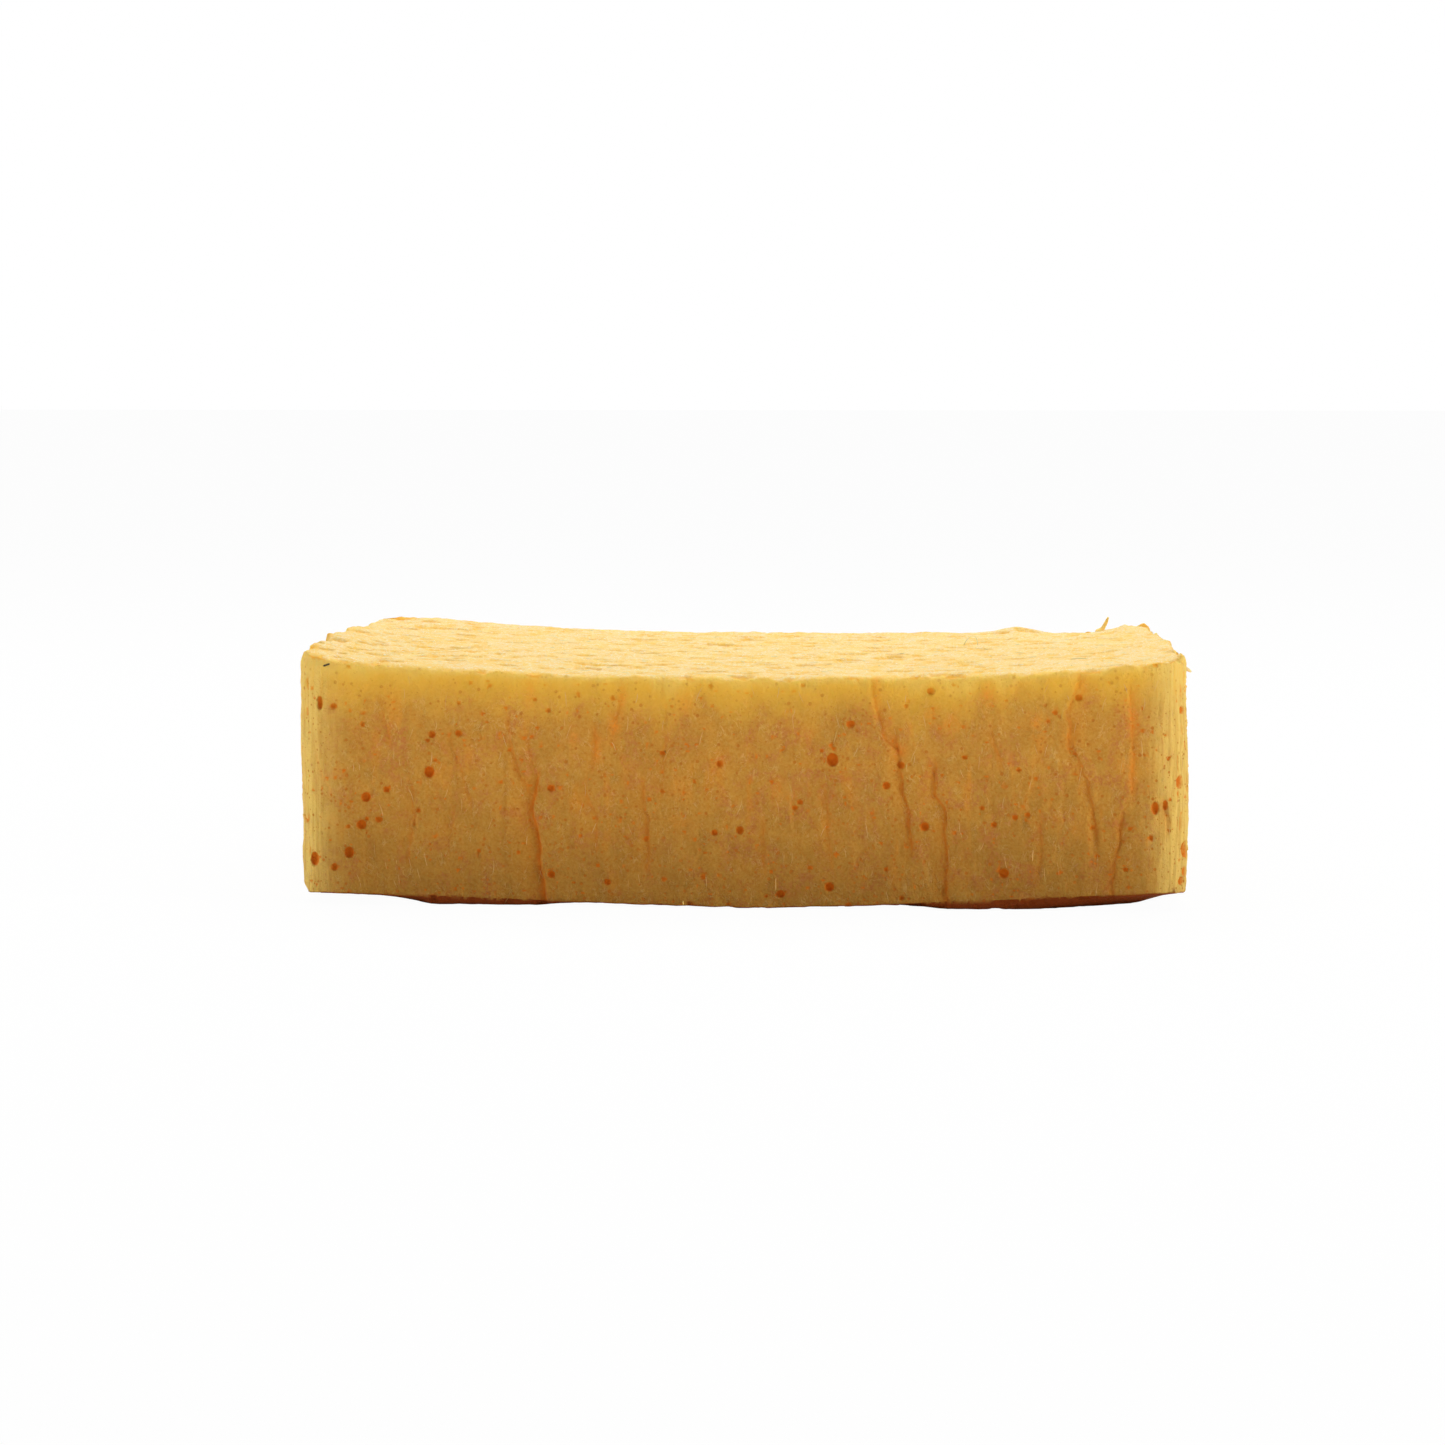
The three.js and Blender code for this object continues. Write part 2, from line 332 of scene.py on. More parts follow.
@dataclass
class Skin:
    """The block's surface as it is being worked: a lattice box bent onto a form.

    points are the vertices in millimetres, and the masks hold one value for each of them.
    """

    form: Form
    index: np.ndarray
    start: np.ndarray
    quads: np.ndarray
    quad_side: np.ndarray
    points: np.ndarray
    wall: np.ndarray
    top: np.ndarray
    under: np.ndarray
    out: np.ndarray
    rim_distance: np.ndarray
    masks: dict[str, np.ndarray] = field(default_factory=dict)

    @classmethod
    def wrap(cls, form: Form, lines: tuple[np.ndarray, np.ndarray, np.ndarray]) -> Skin:
        """Builds the lattice box and bends it onto the form.

        Args:
            form: the block's outer form.
            lines: the lattice's lines along X, Y and up, the last from 0 to 1.

        Returns:
            The bent surface, with a vertex wherever two lines cross on the box.
        """
        counts = [len(axis_lines) for axis_lines in lines]
        corners, sides = [], []
        for number, side in enumerate(Side):
            u, v = side.across
            if side.axis == 1:
                u, v = v, u
            across, along = np.arange(counts[u] - 1), np.arange(counts[v] - 1)
            steps = np.stack(np.meshgrid(across, along, indexing="ij"), -1)
            turn = [(0, 0), (1, 0), (1, 1), (0, 1)]
            for du, dv in turn if side.sign > 0 else turn[::-1]:
                corner = np.zeros((steps[..., 0].size, 3), np.int64)
                corner[:, side.axis] = counts[side.axis] - 1 if side.sign > 0 else 0
                corner[:, u] = steps[..., 0].ravel() + du
                corner[:, v] = steps[..., 1].ravel() + dv
                corners.append(corner)
            sides.append(np.full(steps[..., 0].size, number))
        loops = np.concatenate(
            [np.stack(corners[4 * s : 4 * s + 4], axis=1).reshape(-1, 3) for s in range(len(Side))]
        )
        keys = (loops[:, 0] * counts[1] + loops[:, 1]) * counts[2] + loops[:, 2]
        _, first, inverse = np.unique(keys, return_index=True, return_inverse=True)
        index = loops[first]
        start = np.stack([lines[axis][index[:, axis]] for axis in range(3)], axis=1)
        x, y, up = start.T
        points = form.place(x, y, up)
        inside, out = form.rim(x, y)
        below_top = (1 - up) * form.thickness
        above_base = up * form.thickness
        return cls(
            form=form,
            index=index,
            start=start,
            quads=inverse.reshape(-1, 4),
            quad_side=np.concatenate(sides),
            points=points,
            wall=ease(2.5, 0.0, inside),
            top=ease(2.5, 0.0, below_top),
            under=ease(2.5, 0.0, above_base),
            out=out,
            rim_distance=inside,
        )

    def on(self, side: Side) -> np.ndarray:
        """Which vertices lie on a face of the lattice box."""
        last = self.index[:, side.axis].max() if side.sign > 0 else 0
        return self.index[:, side.axis] == last

    def mask(self, name: str) -> np.ndarray:
        """The named mask, all 0 if it is new."""
        return self.masks.setdefault(name, np.zeros(len(self.points)))

    def raise_mask(self, name: str, values: np.ndarray) -> None:
        """Lifts the named mask to the values wherever they are above it."""
        self.masks[name] = np.maximum(self.mask(name), values)

    def swell(self, wall: np.ndarray, top: np.ndarray, under: np.ndarray) -> None:
        """Moves the surface outwards.

        Args:
            wall: how far the walls move out, for each vertex.
            top: how far the top moves up.
            under: how far the underside moves up, never below the table.
        """
        self.points += self.out * (wall * self.wall)[:, None]
        self.points[:, 2] += top * self.top + np.maximum(under, 0) * self.under


# ---- Creases, lumps and pores ----


@dataclass(frozen=True)
class Crease:
    """A shrinkage fold in the front skin: the skin on one side dips under the edge of the skin on the other.

    trail holds its points from top to bottom: distance right of the middle, and height. The skin on the
    left dips, or the skin on the right if the fold is turned.
    """

    trail: tuple[tuple[float, float], ...]
    depth: float = 0.5
    lip: float = 0.25
    slope: float = 1.0
    turned: bool = False
    fade: float = 3.0

    def press(self, skin: Skin) -> None:
        """Folds the crease into the front skin.

        Args:
            skin: the surface to work.
        """
        x, _, z = skin.points.T
        trail = np.array(self.trail)[::-1]
        wander = Noise(41, (9.0, 9.0, 2.2)).at(np.stack([0 * x, 0 * x, z + 50 * trail[0, 0]], axis=1))
        from_fold = x - np.interp(z, trail[:, 1], trail[:, 0]) - 0.35 * wander
        from_fold = -from_fold if self.turned else from_fold
        bottom, top = trail[0, 1], trail[-1, 1]
        ends = ease(bottom - self.fade, bottom + 1, z) * ease(top + self.fade, top - 1, z)
        strength = ends * (skin.out[:, 1] < -0.7)
        left = from_fold < 0
        groove = np.where(left, np.exp(-np.abs(from_fold) / self.slope), bump(from_fold, 0.3))
        edge = np.where(left, 0, np.exp(-np.abs(from_fold) / 2.6)) * (1 - bump(from_fold, 0.3))
        skin.swell(strength * (self.lip * edge - self.depth * groove), 0 * x, 0 * x)
        # Painted shade along the fold line.
        skin.raise_mask("pit_shade", strength * min(0.9, 1.3 * self.depth) * bump(from_fold + 0.1, 0.35))
        # Painted orange shade over the dipping skin beside the fold.
        glow = np.where(left, bump(from_fold, 1.6 * self.slope + 0.8), 0)
        skin.raise_mask("warm", strength * min(1.0, 1.8 * self.depth) * glow)


@dataclass(frozen=True)
class Stain:
    """A spot where the front skin is painted a brighter orange, given by its middle and its two half-widths.
    """

    x: float
    z: float
    half_width: float
    half_height: float
    strength: float = 0.7

    def soak(self, skin: Skin) -> None:
        """Raises the brighter orange over the spot.

        Args:
            skin: the surface to work.
        """
        x, _, z = skin.points.T
        across, along = (x - self.x) / self.half_width, (z - self.z) / self.half_height
        skin.raise_mask("ember", self.strength * bump(np.hypot(across, along), 1.0) * (skin.out[:, 1] < -0.5))


@dataclass(frozen=True)
class Lump:
    """A gentle rise of the top face, or a hollow if its rise is below 0."""

    x: float
    y: float
    reach: float
    rise: float

    def heave(self, skin: Skin) -> None:
        """Raises the top face round the lump's place."""
        distance = np.hypot(skin.points[:, 0] - self.x, skin.points[:, 1] - self.y)
        still = np.zeros(len(distance))
        skin.swell(still, self.rise * bump(distance, self.reach), still)


@dataclass(frozen=True)
class Pores:
    """Gas bubbles cut open by a face of the block, or breaking through its skin.

    Each row of the arrays is one bubble: its place in the face, its mouth's two half-widths, and its sink,
    the share of its radius by which its centre lies under the face.
    """

    side: Side
    places: np.ndarray
    mouths: np.ndarray
    sinks: np.ndarray
    lip: float = 0.0

    def open_up(self, skin: Skin) -> None:
        """Sinks every bubble into the surface.

        Args:
            skin: the surface to work.
        """
        chosen = np.flatnonzero(skin.on(self.side))
        u, v = self.side.across
        flat = skin.points[chosen][:, [u, v]].copy()
        rim = skin.rim_distance[chosen]
        depth = np.zeros(len(chosen))
        shift = np.zeros((len(chosen), 2))
        pit_shade = np.zeros(len(chosen))
        order = np.argsort(flat[:, 0], kind="stable")
        sorted_u = flat[order, 0]
        for place, mouth, sink in zip(self.places, self.mouths, self.sinks):
            reach = 1.6 * mouth[0]
            first, last = np.searchsorted(sorted_u, [place[0] - reach, place[0] + reach])
            near = order[first:last]
            near = near[np.abs(flat[near, 1] - place[1]) < 1.6 * mouth[1]]
            offset = flat[near] - place
            ratio = np.linalg.norm(offset / mouth, axis=1)
            inner = ratio < 1
            lip = near[~inner]
            depth[lip] -= self.lip * mouth.mean() * bump(ratio[~inner] - 1.12, 0.16)
            hollow, offset, ratio = near[inner], offset[inner], np.maximum(ratio[inner], 1e-6)
            start = math.acos(sink)
            angle = math.pi - (math.pi - start) * ratio
            radius = mouth.mean() / math.sin(start)
            drop = radius * (sink - np.cos(angle))
            deeper = drop > depth[hollow]
            spread = (np.sin(angle) / math.sin(start) / ratio - 1)[:, None] * offset
            depth[hollow] = np.where(deeper, drop, depth[hollow])
            shift[hollow] = np.where(deeper[:, None], spread, shift[hollow])
            # The hollow is marked for painted shade.
            pit_shade[hollow] = np.maximum(pit_shade[hollow], ease(1.0, 0.7, ratio))
        strength = ease(0.0, 0.8, rim) if self.side in (Side.TOP, Side.UNDER) else np.ones(len(chosen))
        skin.points[chosen] -= self.side.outward * (depth * strength)[:, None]
        skin.points[chosen, u] += shift[:, 0] * strength
        skin.points[chosen, v] += shift[:, 1] * strength
        mask = np.zeros(len(skin.points))
        mask[chosen] = pit_shade
        skin.raise_mask("pit_shade", mask)


@dataclass(frozen=True)
class Bite:
    """A broken-away pore on the rim: a ball of air that the foam is pushed back from."""

    centre: Point
    radii: Point

    def take(self, skin: Skin) -> None:
        """Pushes the surface out of the ball.

        Args:
            skin: the surface to work.
        """
        offset = (skin.points - np.array(self.centre)) / np.array(self.radii)
        distance = np.linalg.norm(offset, axis=1)
        inner = distance < 1
        push = offset[inner] / np.maximum(distance[inner, None], 1e-6)
        skin.points[inner] = np.array(self.centre) + push * np.array(self.radii)
        mask = np.zeros(len(skin.points))
        mask[inner] = 0.7 * (1 - distance[inner])
        # The bite is marked for painted shade.
        skin.raise_mask("pit_shade", mask)


# ---- Shader trees ----


@dataclass(frozen=True)
class Tree:
    """A node tree, in a material or in a group, that is being wired up."""

    tree: bpy.types.NodeTree

    def node(self, kind: str, inputs: dict | None = None, **settings: object) -> bpy.types.Node:
        """Adds a node.

        Args:
            kind: Blender's name of the node type.
            inputs: what each named or numbered input gets: a socket to link, or a value.
            settings: the node's own properties.

        Returns:
            The node.
        """
        made = self.tree.nodes.new(kind)
        for name, value in settings.items():
            setattr(made, name, value)
        for name, value in (inputs or {}).items():
            if isinstance(value, bpy.types.NodeSocket):
                self.tree.links.new(value, made.inputs[name])
            else:
                made.inputs[name].default_value = value
        return made

    def math(self, operation: str, *values: object, clamp: bool = False) -> bpy.types.NodeSocket:
        """One sum of sockets or numbers.

        Args:
            operation: Blender's name of the sum.
            values: its operands.
            clamp: whether the result is kept from 0 to 1.

        Returns:
            The result's socket.
        """
        made = self.node("ShaderNodeMath", dict(enumerate(values)), operation=operation, use_clamp=clamp)
        return made.outputs[0]

    def step(self, value: object, low: float, high: float) -> bpy.types.NodeSocket:
        """A smooth step from 0 at low to 1 at high, or back down if high is below low."""
        falling = high < low
        inputs = {"Value": value, "From Min": min(low, high), "From Max": max(low, high)}
        inputs |= {"To Min": 1.0 if falling else 0.0, "To Max": 0.0 if falling else 1.0}
        made = self.node("ShaderNodeMapRange", inputs, interpolation_type="SMOOTHSTEP")
        return made.outputs["Result"]

    def mix(self, share: object, under: object, over: object, blend: str = "MIX") -> bpy.types.NodeSocket:
        """Two colours laid over each other.

        Args:
            share: how much of the upper colour shows.
            under: the lower colour.
            over: the upper colour.
            blend: how they combine.

        Returns:
            The mixed colour's socket.
        """
        made = self.node("ShaderNodeMix", data_type="RGBA", blend_type=blend)
        for socket, value in ((made.inputs[0], share), (made.inputs[6], under), (made.inputs[7], over)):
            if isinstance(value, bpy.types.NodeSocket):
                self.tree.links.new(value, socket)
            else:
                socket.default_value = (*value, 1.0) if isinstance(value, tuple) else value
        return made.outputs[2]

    def attribute(self, name: str) -> bpy.types.NodeSocket:
        """The value of one of the mesh's masks."""
        return self.node("ShaderNodeAttribute", attribute_name=name).outputs["Fac"]

    def millimetres(self) -> bpy.types.NodeSocket:
        """The place on the piece, in millimetres."""
        place = self.node("ShaderNodeTexCoord").outputs["Object"]
        scale = {0: place, 1: (1 / MM, 1 / MM, 1 / MM)}
        return self.node("ShaderNodeVectorMath", scale, operation="MULTIPLY").outputs[0]


class Effect:
    """A shader node group, built once and placed in any material that wants it."""

    name = "effect"
    inputs: dict[str, tuple[str, object]] = {}
    outputs: tuple[str, ...] = ()

    def wire(self, tree: Tree, given: bpy.types.Node) -> dict[str, bpy.types.NodeSocket]:
        """Builds the inside of the group.

        Args:
            tree: the group's own tree.
            given: the node that hands in the group's inputs.

        Returns:
            The socket for each output.
        """
        raise NotImplementedError

    def group(self) -> bpy.types.NodeTree:
        """The group's tree, built when it is first asked for."""
        found = bpy.data.node_groups.get(self.name)
        if found:
            return found
        made = bpy.data.node_groups.new(self.name, "ShaderNodeTree")
        for name, (kind, value) in self.inputs.items():
            socket = made.interface.new_socket(name, in_out="INPUT", socket_type=kind)
            if value is not None:
                socket.default_value = value
        for name in self.outputs:
            made.interface.new_socket(name, in_out="OUTPUT", socket_type="NodeSocketFloat")
        tree = Tree(made)
        results = self.wire(tree, tree.node("NodeGroupInput"))
        tree.node("NodeGroupOutput", results)
        return made

    def lay(self, tree: Tree, **values: object) -> bpy.types.Node:
        """Places the group in a material.

        Args:
            tree: the material's tree.
            values: what its inputs get, by name with underscores for spaces.

        Returns:
            The group's node.
        """
        inputs = {name.replace("_", " "): value for name, value in values.items()}
        made = tree.node("ShaderNodeGroup", node_tree=self.group())
        for name, value in inputs.items():
            if isinstance(value, bpy.types.NodeSocket):
                tree.tree.links.new(value, made.inputs[name])
            else:
                made.inputs[name].default_value = value
        return made


class Mottle(Effect):
    """Soft uneven blotches, such as a dye that took better in one place than in another."""

    name = "mottle"
    inputs = {
        "Place": ("NodeSocketVector", None),
        "Per mm": ("NodeSocketFloat", 0.2),
        "Start": ("NodeSocketFloat", 0.5),
        "Full": ("NodeSocketFloat", 0.75),
    }
    outputs = ("Mask",)

    def wire(self, tree: Tree, given: bpy.types.Node) -> dict[str, bpy.types.NodeSocket]:
        """Thresholds a warped noise."""
        settings = {"Vector": given.outputs["Place"], "Scale": given.outputs["Per mm"]}
        settings |= {"Detail": 3.0, "Roughness": 0.6, "Distortion": 0.8}
        noise = tree.node("ShaderNodeTexNoise", settings).outputs[0]
        inputs = {"Value": noise, "From Min": given.outputs["Start"], "From Max": given.outputs["Full"]}
        made = tree.node("ShaderNodeMapRange", inputs, interpolation_type="SMOOTHSTEP")
        return {"Mask": made.outputs["Result"]}


class Streaks(Effect):
    """Fine lines drawn along one direction, such as fibres or the drag of a wire cutter."""

    name = "streaks"
    inputs = {
        "Place": ("NodeSocketVector", None),
        "Squash": ("NodeSocketVector", (1.6, 1.6, 0.12)),
        "Start": ("NodeSocketFloat", 0.45),
        "Full": ("NodeSocketFloat", 0.7),
    }
    outputs = ("Mask", "Height")

    def wire(self, tree: Tree, given: bpy.types.Node) -> dict[str, bpy.types.NodeSocket]:
        """Squashes a noise so that its lumps become lines."""
        pair = {0: given.outputs["Place"], 1: given.outputs["Squash"]}
        place = tree.node("ShaderNodeVectorMath", pair, operation="MULTIPLY").outputs[0]
        settings = {"Vector": place, "Scale": 1.0, "Detail": 3.0, "Roughness": 0.55, "Distortion": 0.3}
        noise = tree.node("ShaderNodeTexNoise", settings).outputs[0]
        inputs = {"Value": noise, "From Min": given.outputs["Start"], "From Max": given.outputs["Full"]}
        made = tree.node("ShaderNodeMapRange", inputs, interpolation_type="SMOOTHSTEP")
        return {"Mask": made.outputs["Result"], "Height": noise}


class Grain(Effect):
    """Fine crumbs of torn cell wall, with a few bright fibre ends among them. Shade marks the low crumbs, for
    painted shade.
    """

    name = "grain"
    inputs = {
        "Place": ("NodeSocketVector", None),
        "Per mm": ("NodeSocketFloat", 1.6),
    }
    outputs = ("Height", "Glint", "Shade")

    def wire(self, tree: Tree, given: bpy.types.Node) -> dict[str, bpy.types.NodeSocket]:
        """Lays a fine noise over a coarse one, and picks its brightest flecks as glints."""
        size = given.outputs["Per mm"]
        coarse_in = {"Vector": given.outputs["Place"], "Scale": size, "Detail": 4.0, "Roughness": 0.65}
        coarse = tree.node("ShaderNodeTexNoise", coarse_in).outputs[0]
        flat = {0: given.outputs["Place"], 1: (0.5, 1.3, 1.3)}
        place = tree.node("ShaderNodeVectorMath", flat, operation="MULTIPLY").outputs[0]
        finer = tree.math("MULTIPLY", size, 1.9)
        fleck_in = {"Vector": place, "Scale": finer, "Detail": 1.0, "Roughness": 0.5, "Distortion": 1.5}
        fleck = tree.node("ShaderNodeTexNoise", fleck_in).outputs[0]
        return {
            "Height": coarse,
            "Glint": tree.step(fleck, 0.62, 0.7),
            "Shade": tree.step(coarse, 0.54, 0.4),
        }


class Wrinkles(Effect):
    """Leathery fine relief: uneven grain crossed by a net of thin raised creases. Shade and Light mark the
    low and the high grain, for painted shade and painted highlight on that relief.
    """

    name = "wrinkles"
    inputs = {
        "Place": ("NodeSocketVector", None),
        "Squash": ("NodeSocketVector", (1.0, 1.0, 0.6)),
    }
    outputs = ("Height", "Crest", "Shade", "Light")

    def wire(self, tree: Tree, given: bpy.types.Node) -> dict[str, bpy.types.NodeSocket]:
        """Draws a crest wherever a warped noise crosses its middle, broken up by a second noise."""
        pair = {0: given.outputs["Place"], 1: given.outputs["Squash"]}
        place = tree.node("ShaderNodeVectorMath", pair, operation="MULTIPLY").outputs[0]
        fold_in = {"Vector": place, "Scale": 0.62, "Detail": 3.0, "Roughness": 0.6, "Distortion": 0.9}
        fold = tree.node("ShaderNodeTexNoise", fold_in).outputs[0]
        from_crest = tree.math("ABSOLUTE", tree.math("SUBTRACT", fold, 0.5))
        gate_in = {"Vector": place, "Scale": 0.4, "Detail": 2.0, "Roughness": 0.5}
        gate = tree.step(tree.node("ShaderNodeTexNoise", gate_in).outputs[0], 0.46, 0.6)
        crest = tree.math("MULTIPLY", tree.step(from_crest, 0.03, 0.0), gate)
        grain_in = {"Vector": given.outputs["Place"], "Scale": 1.9, "Detail": 3.0, "Roughness": 0.6}
        grain = tree.node("ShaderNodeTexNoise", grain_in).outputs[0]
        return {
            "Height": tree.math("MULTIPLY_ADD", crest, 0.3, tree.math("ADD", fold, grain)),
            "Crest": crest,
            "Shade": tree.step(grain, 0.5, 0.36),
            "Light": tree.step(grain, 0.52, 0.66),
        }


class Pinholes(Effect):
    """Tiny round holes scattered over a skin, one at most in each cell of a random net."""

    name = "pinholes"
    inputs = {
        "Place": ("NodeSocketVector", None),
        "Per mm": ("NodeSocketFloat", 0.7),
        "Radius": ("NodeSocketFloat", 0.2),
        "Share": ("NodeSocketFloat", 0.6),
    }
    outputs = ("Mask", "Height")

    def wire(self, tree: Tree, given: bpy.types.Node) -> dict[str, bpy.types.NodeSocket]:
        """Keeps a dot of random size round the point of some of the net's cells."""
        settings = {"Vector": given.outputs["Place"], "Scale": given.outputs["Per mm"], "Randomness": 1.0}
        cells = tree.node("ShaderNodeTexVoronoi", settings, feature="F1")
        luck = tree.node("ShaderNodeSeparateColor", {0: cells.outputs["Color"]})
        kept = tree.math("LESS_THAN", luck.outputs[0], given.outputs["Share"])
        size = tree.math("MULTIPLY_ADD", tree.math("POWER", luck.outputs[1], 2.0), 0.75, 0.3)
        radius = tree.math("MULTIPLY", size, given.outputs["Radius"])
        ratio = tree.math("DIVIDE", cells.outputs["Distance"], radius)
        hole = tree.math("MULTIPLY", tree.step(ratio, 1.0, 0.55), kept)
        return {"Mask": hole, "Height": tree.math("SUBTRACT", 1.0, hole)}


# ---- Finishes ----


def new_material(name: str) -> tuple[bpy.types.Material, Tree, bpy.types.Node]:
    """Starts a material.

    Args:
        name: the material's name.

    Returns:
        The material, its tree, and its Principled shader, already linked to the output.
    """
    material = bpy.data.materials.new(name)
    material.use_nodes = True
    material.node_tree.nodes.clear()
    tree = Tree(material.node_tree)
    shader = tree.node("ShaderNodeBsdfPrincipled")
    tree.node("ShaderNodeOutputMaterial", {"Surface": shader.outputs[0]})
    return material, tree, shader


@dataclass(frozen=True)
class FoamFinish:
    """Dried cellulose foam: waxy ochre skin on the cast walls, pale crumb on the cut faces. Some colours are
    painted light and shade: a glow under the top rim, shade towards the base, in the pores, creases and
    pinholes and under the front lip, side light on the ends, and light and shade on the fine relief.

    Colours are linear. reach is how far red, green and blue light travel inside the foam, in millimetres.
    """

    skin: Color = (0.68, 0.325, 0.045)
    band: Color = (0.96, 0.54, 0.055)
    painted_tongue_glow: Color = (0.98, 0.66, 0.14)
    end: Color = (0.86, 0.57, 0.13)
    crumb: Color = (0.95, 0.71, 0.34)
    hollow: Color = (0.98, 0.59, 0.1)
    pit_shade: Color = (0.79, 0.2, 0.004)
    rim_pit_shade: Color = (0.92, 0.42, 0.03)
    cell: Color = (0.98, 0.56, 0.08)
    blotch: Color = (0.62, 0.21, 0.05)
    warm: Color = (0.84, 0.32, 0.026)
    ember: Color = (0.98, 0.32, 0.02)
    painted_under_lip_shade: Color = (0.33, 0.06, 0.003)
    crest_thread_highlight: Color = (0.92, 0.58, 0.19)
    relief_shade: Color = (0.9, 0.72, 0.45)
    relief_highlight: Color = (1.08, 1.2, 1.5)
    glint: Color = (1.0, 0.93, 0.76)
    pinhole_shade: Color = (0.60, 0.19, 0.014)
    reach: Color = (1.3, 0.6, 0.2)
    inner: float = 0.3
    low_shade: float = 0.84
    masks: tuple[str, ...] = ("cut", "pit_shade", "band", "painted_tongue_glow", "painted_low_shade", "end", "warm", "ember", "painted_under_lip_shade")

    def material(self) -> bpy.types.Material:
        """Builds the foam's material.

        Returns:
            The material.
        """
        made, tree, shader = new_material("cellulose_foam")
        place = tree.millimetres()
        masks = {name: tree.attribute(name) for name in self.masks}
        grain = Grain().lay(tree, Place=place, Per_mm=1.5)
        pins = Pinholes().lay(tree, Place=place, Per_mm=0.6, Radius=0.26, Share=0.9)
        specks = Pinholes().lay(tree, Place=place, Per_mm=1.05, Radius=0.38, Share=0.85)
        hide = Wrinkles().lay(tree, Place=place, Squash=(0.95, 0.95, 0.6))
        upright = Streaks().lay(tree, Place=place, Squash=(1.3, 1.3, 0.09), Start=0.42, Full=0.62)
        color = self.skin_color(tree, place, masks, pins, specks, upright, hide)
        crumb = self.crumb_color(tree, place, masks, grain)
        tree.tree.links.new(tree.mix(masks["cut"], color, crumb), shader.inputs["Base Color"])
        self.surface(tree, shader, masks, grain, pins, specks, upright, hide)
        shader.inputs["Subsurface Weight"].default_value = self.inner
        shader.inputs["Subsurface Radius"].default_value = self.reach
        shader.inputs["Subsurface Scale"].default_value = MM
        shader.inputs["Specular IOR Level"].default_value = 0.16
        return made

    def skin_color(
        self,
        tree: Tree,
        place: bpy.types.NodeSocket,
        masks: dict[str, bpy.types.NodeSocket],
        pins: bpy.types.Node,
        specks: bpy.types.Node,
        upright: bpy.types.Node,
        hide: bpy.types.Node,
    ) -> bpy.types.NodeSocket:
        """Colours the cast walls.

        Args:
            tree: the material's tree.
            place: the place in millimetres.
            masks: the mesh's masks.
            pins: the larger pinholes.
            specks: the finer pinholes.
            upright: the upright streaks.
            hide: the leathery wrinkles.

        Returns:
            The colour's socket.
        """
        tone = Mottle().lay(tree, Place=place, Per_mm=0.09, Start=0.3, Full=0.7).outputs[0]
        fine = Mottle().lay(tree, Place=place, Per_mm=0.9, Start=0.35, Full=0.7).outputs[0]
        blotch = Mottle().lay(tree, Place=place, Per_mm=0.17, Start=0.47, Full=0.66).outputs[0]
        threads = Mottle().lay(tree, Place=place, Per_mm=1.3, Start=0.4, Full=0.58).outputs[0]
        blotch = tree.math("MULTIPLY", blotch, threads)
        glow = Streaks().lay(tree, Place=place, Squash=(0.22, 0.22, 0.06), Start=0.56, Full=0.74).outputs[0]
        darker = tuple(0.86 * c for c in self.skin)
        color = tree.mix(tone, self.skin, darker)
        color = tree.mix(tree.math("MULTIPLY", fine, 0.25), color, tuple(1.12 * c for c in self.skin))
        color = tree.mix(tree.math("MULTIPLY", blotch, 0.75), color, self.blotch)
        # Random upright streaks of warmer colour, and the painted orange shade beside the creases.
        warmth = tree.math("MULTIPLY", tree.math("MAXIMUM", glow, masks["warm"]), 0.42)
        color = tree.mix(warmth, color, self.warm)
        # Painted shade in the low grain and painted highlight on the high grain of the wrinkled relief.
        dark = tree.mix(1.0, color, self.relief_shade, "MULTIPLY")
        color = tree.mix(tree.math("MULTIPLY", hide.outputs["Shade"], 0.55), color, dark)
        light = tree.mix(1.0, color, self.relief_highlight, "MULTIPLY")
        color = tree.mix(tree.math("MULTIPLY", hide.outputs["Light"], 0.6), color, light)
        # Pale threads along the raised crests, partly real threads, partly painted highlight on the crests.
        color = tree.mix(tree.math("MULTIPLY", hide.outputs["Crest"], 0.4), color, self.crest_thread_highlight)
        # Painted shade: the walls darken towards the base.
        low = tree.mix(1.0, color, (self.low_shade,) * 3, "MULTIPLY")
        color = tree.mix(masks["painted_low_shade"], color, low)
        # The golden band under the top rim is a painted glow of light that enters the top and leaves through
        # the front skin.
        color = tree.mix(masks["band"], color, self.band)
        # Pale tongues that reach down from the top rim: painted glow of light through the rim.
        color = tree.mix(tree.math("MULTIPLY", masks["painted_tongue_glow"], 0.6), color, self.painted_tongue_glow)
        stained = tree.math("MULTIPLY", masks["ember"], tree.math("MULTIPLY_ADD", threads, 0.4, 0.4))
        color = tree.mix(stained, color, self.ember)
        between = tree.math("MULTIPLY_ADD", upright.outputs["Mask"], -0.4, 1.0)
        pale = tree.math("MULTIPLY", masks["end"], between)
        # The pale end strips: partly the ends' own paler colour, partly painted light from the side lamps.
        color = tree.mix(pale, color, self.end)
        lower = tree.math("SUBTRACT", 1.0, tree.math("MULTIPLY", masks["band"], 0.7))
        # Painted shade in the pinholes: darker orange-brown dots, fewer within the rim glow.
        dots = tree.math("MAXIMUM", pins.outputs["Mask"], tree.math("MULTIPLY", specks.outputs["Mask"], 0.85))
        color = tree.mix(tree.math("MULTIPLY", tree.math("MULTIPLY", dots, lower), 0.85), color, self.pinhole_shade)
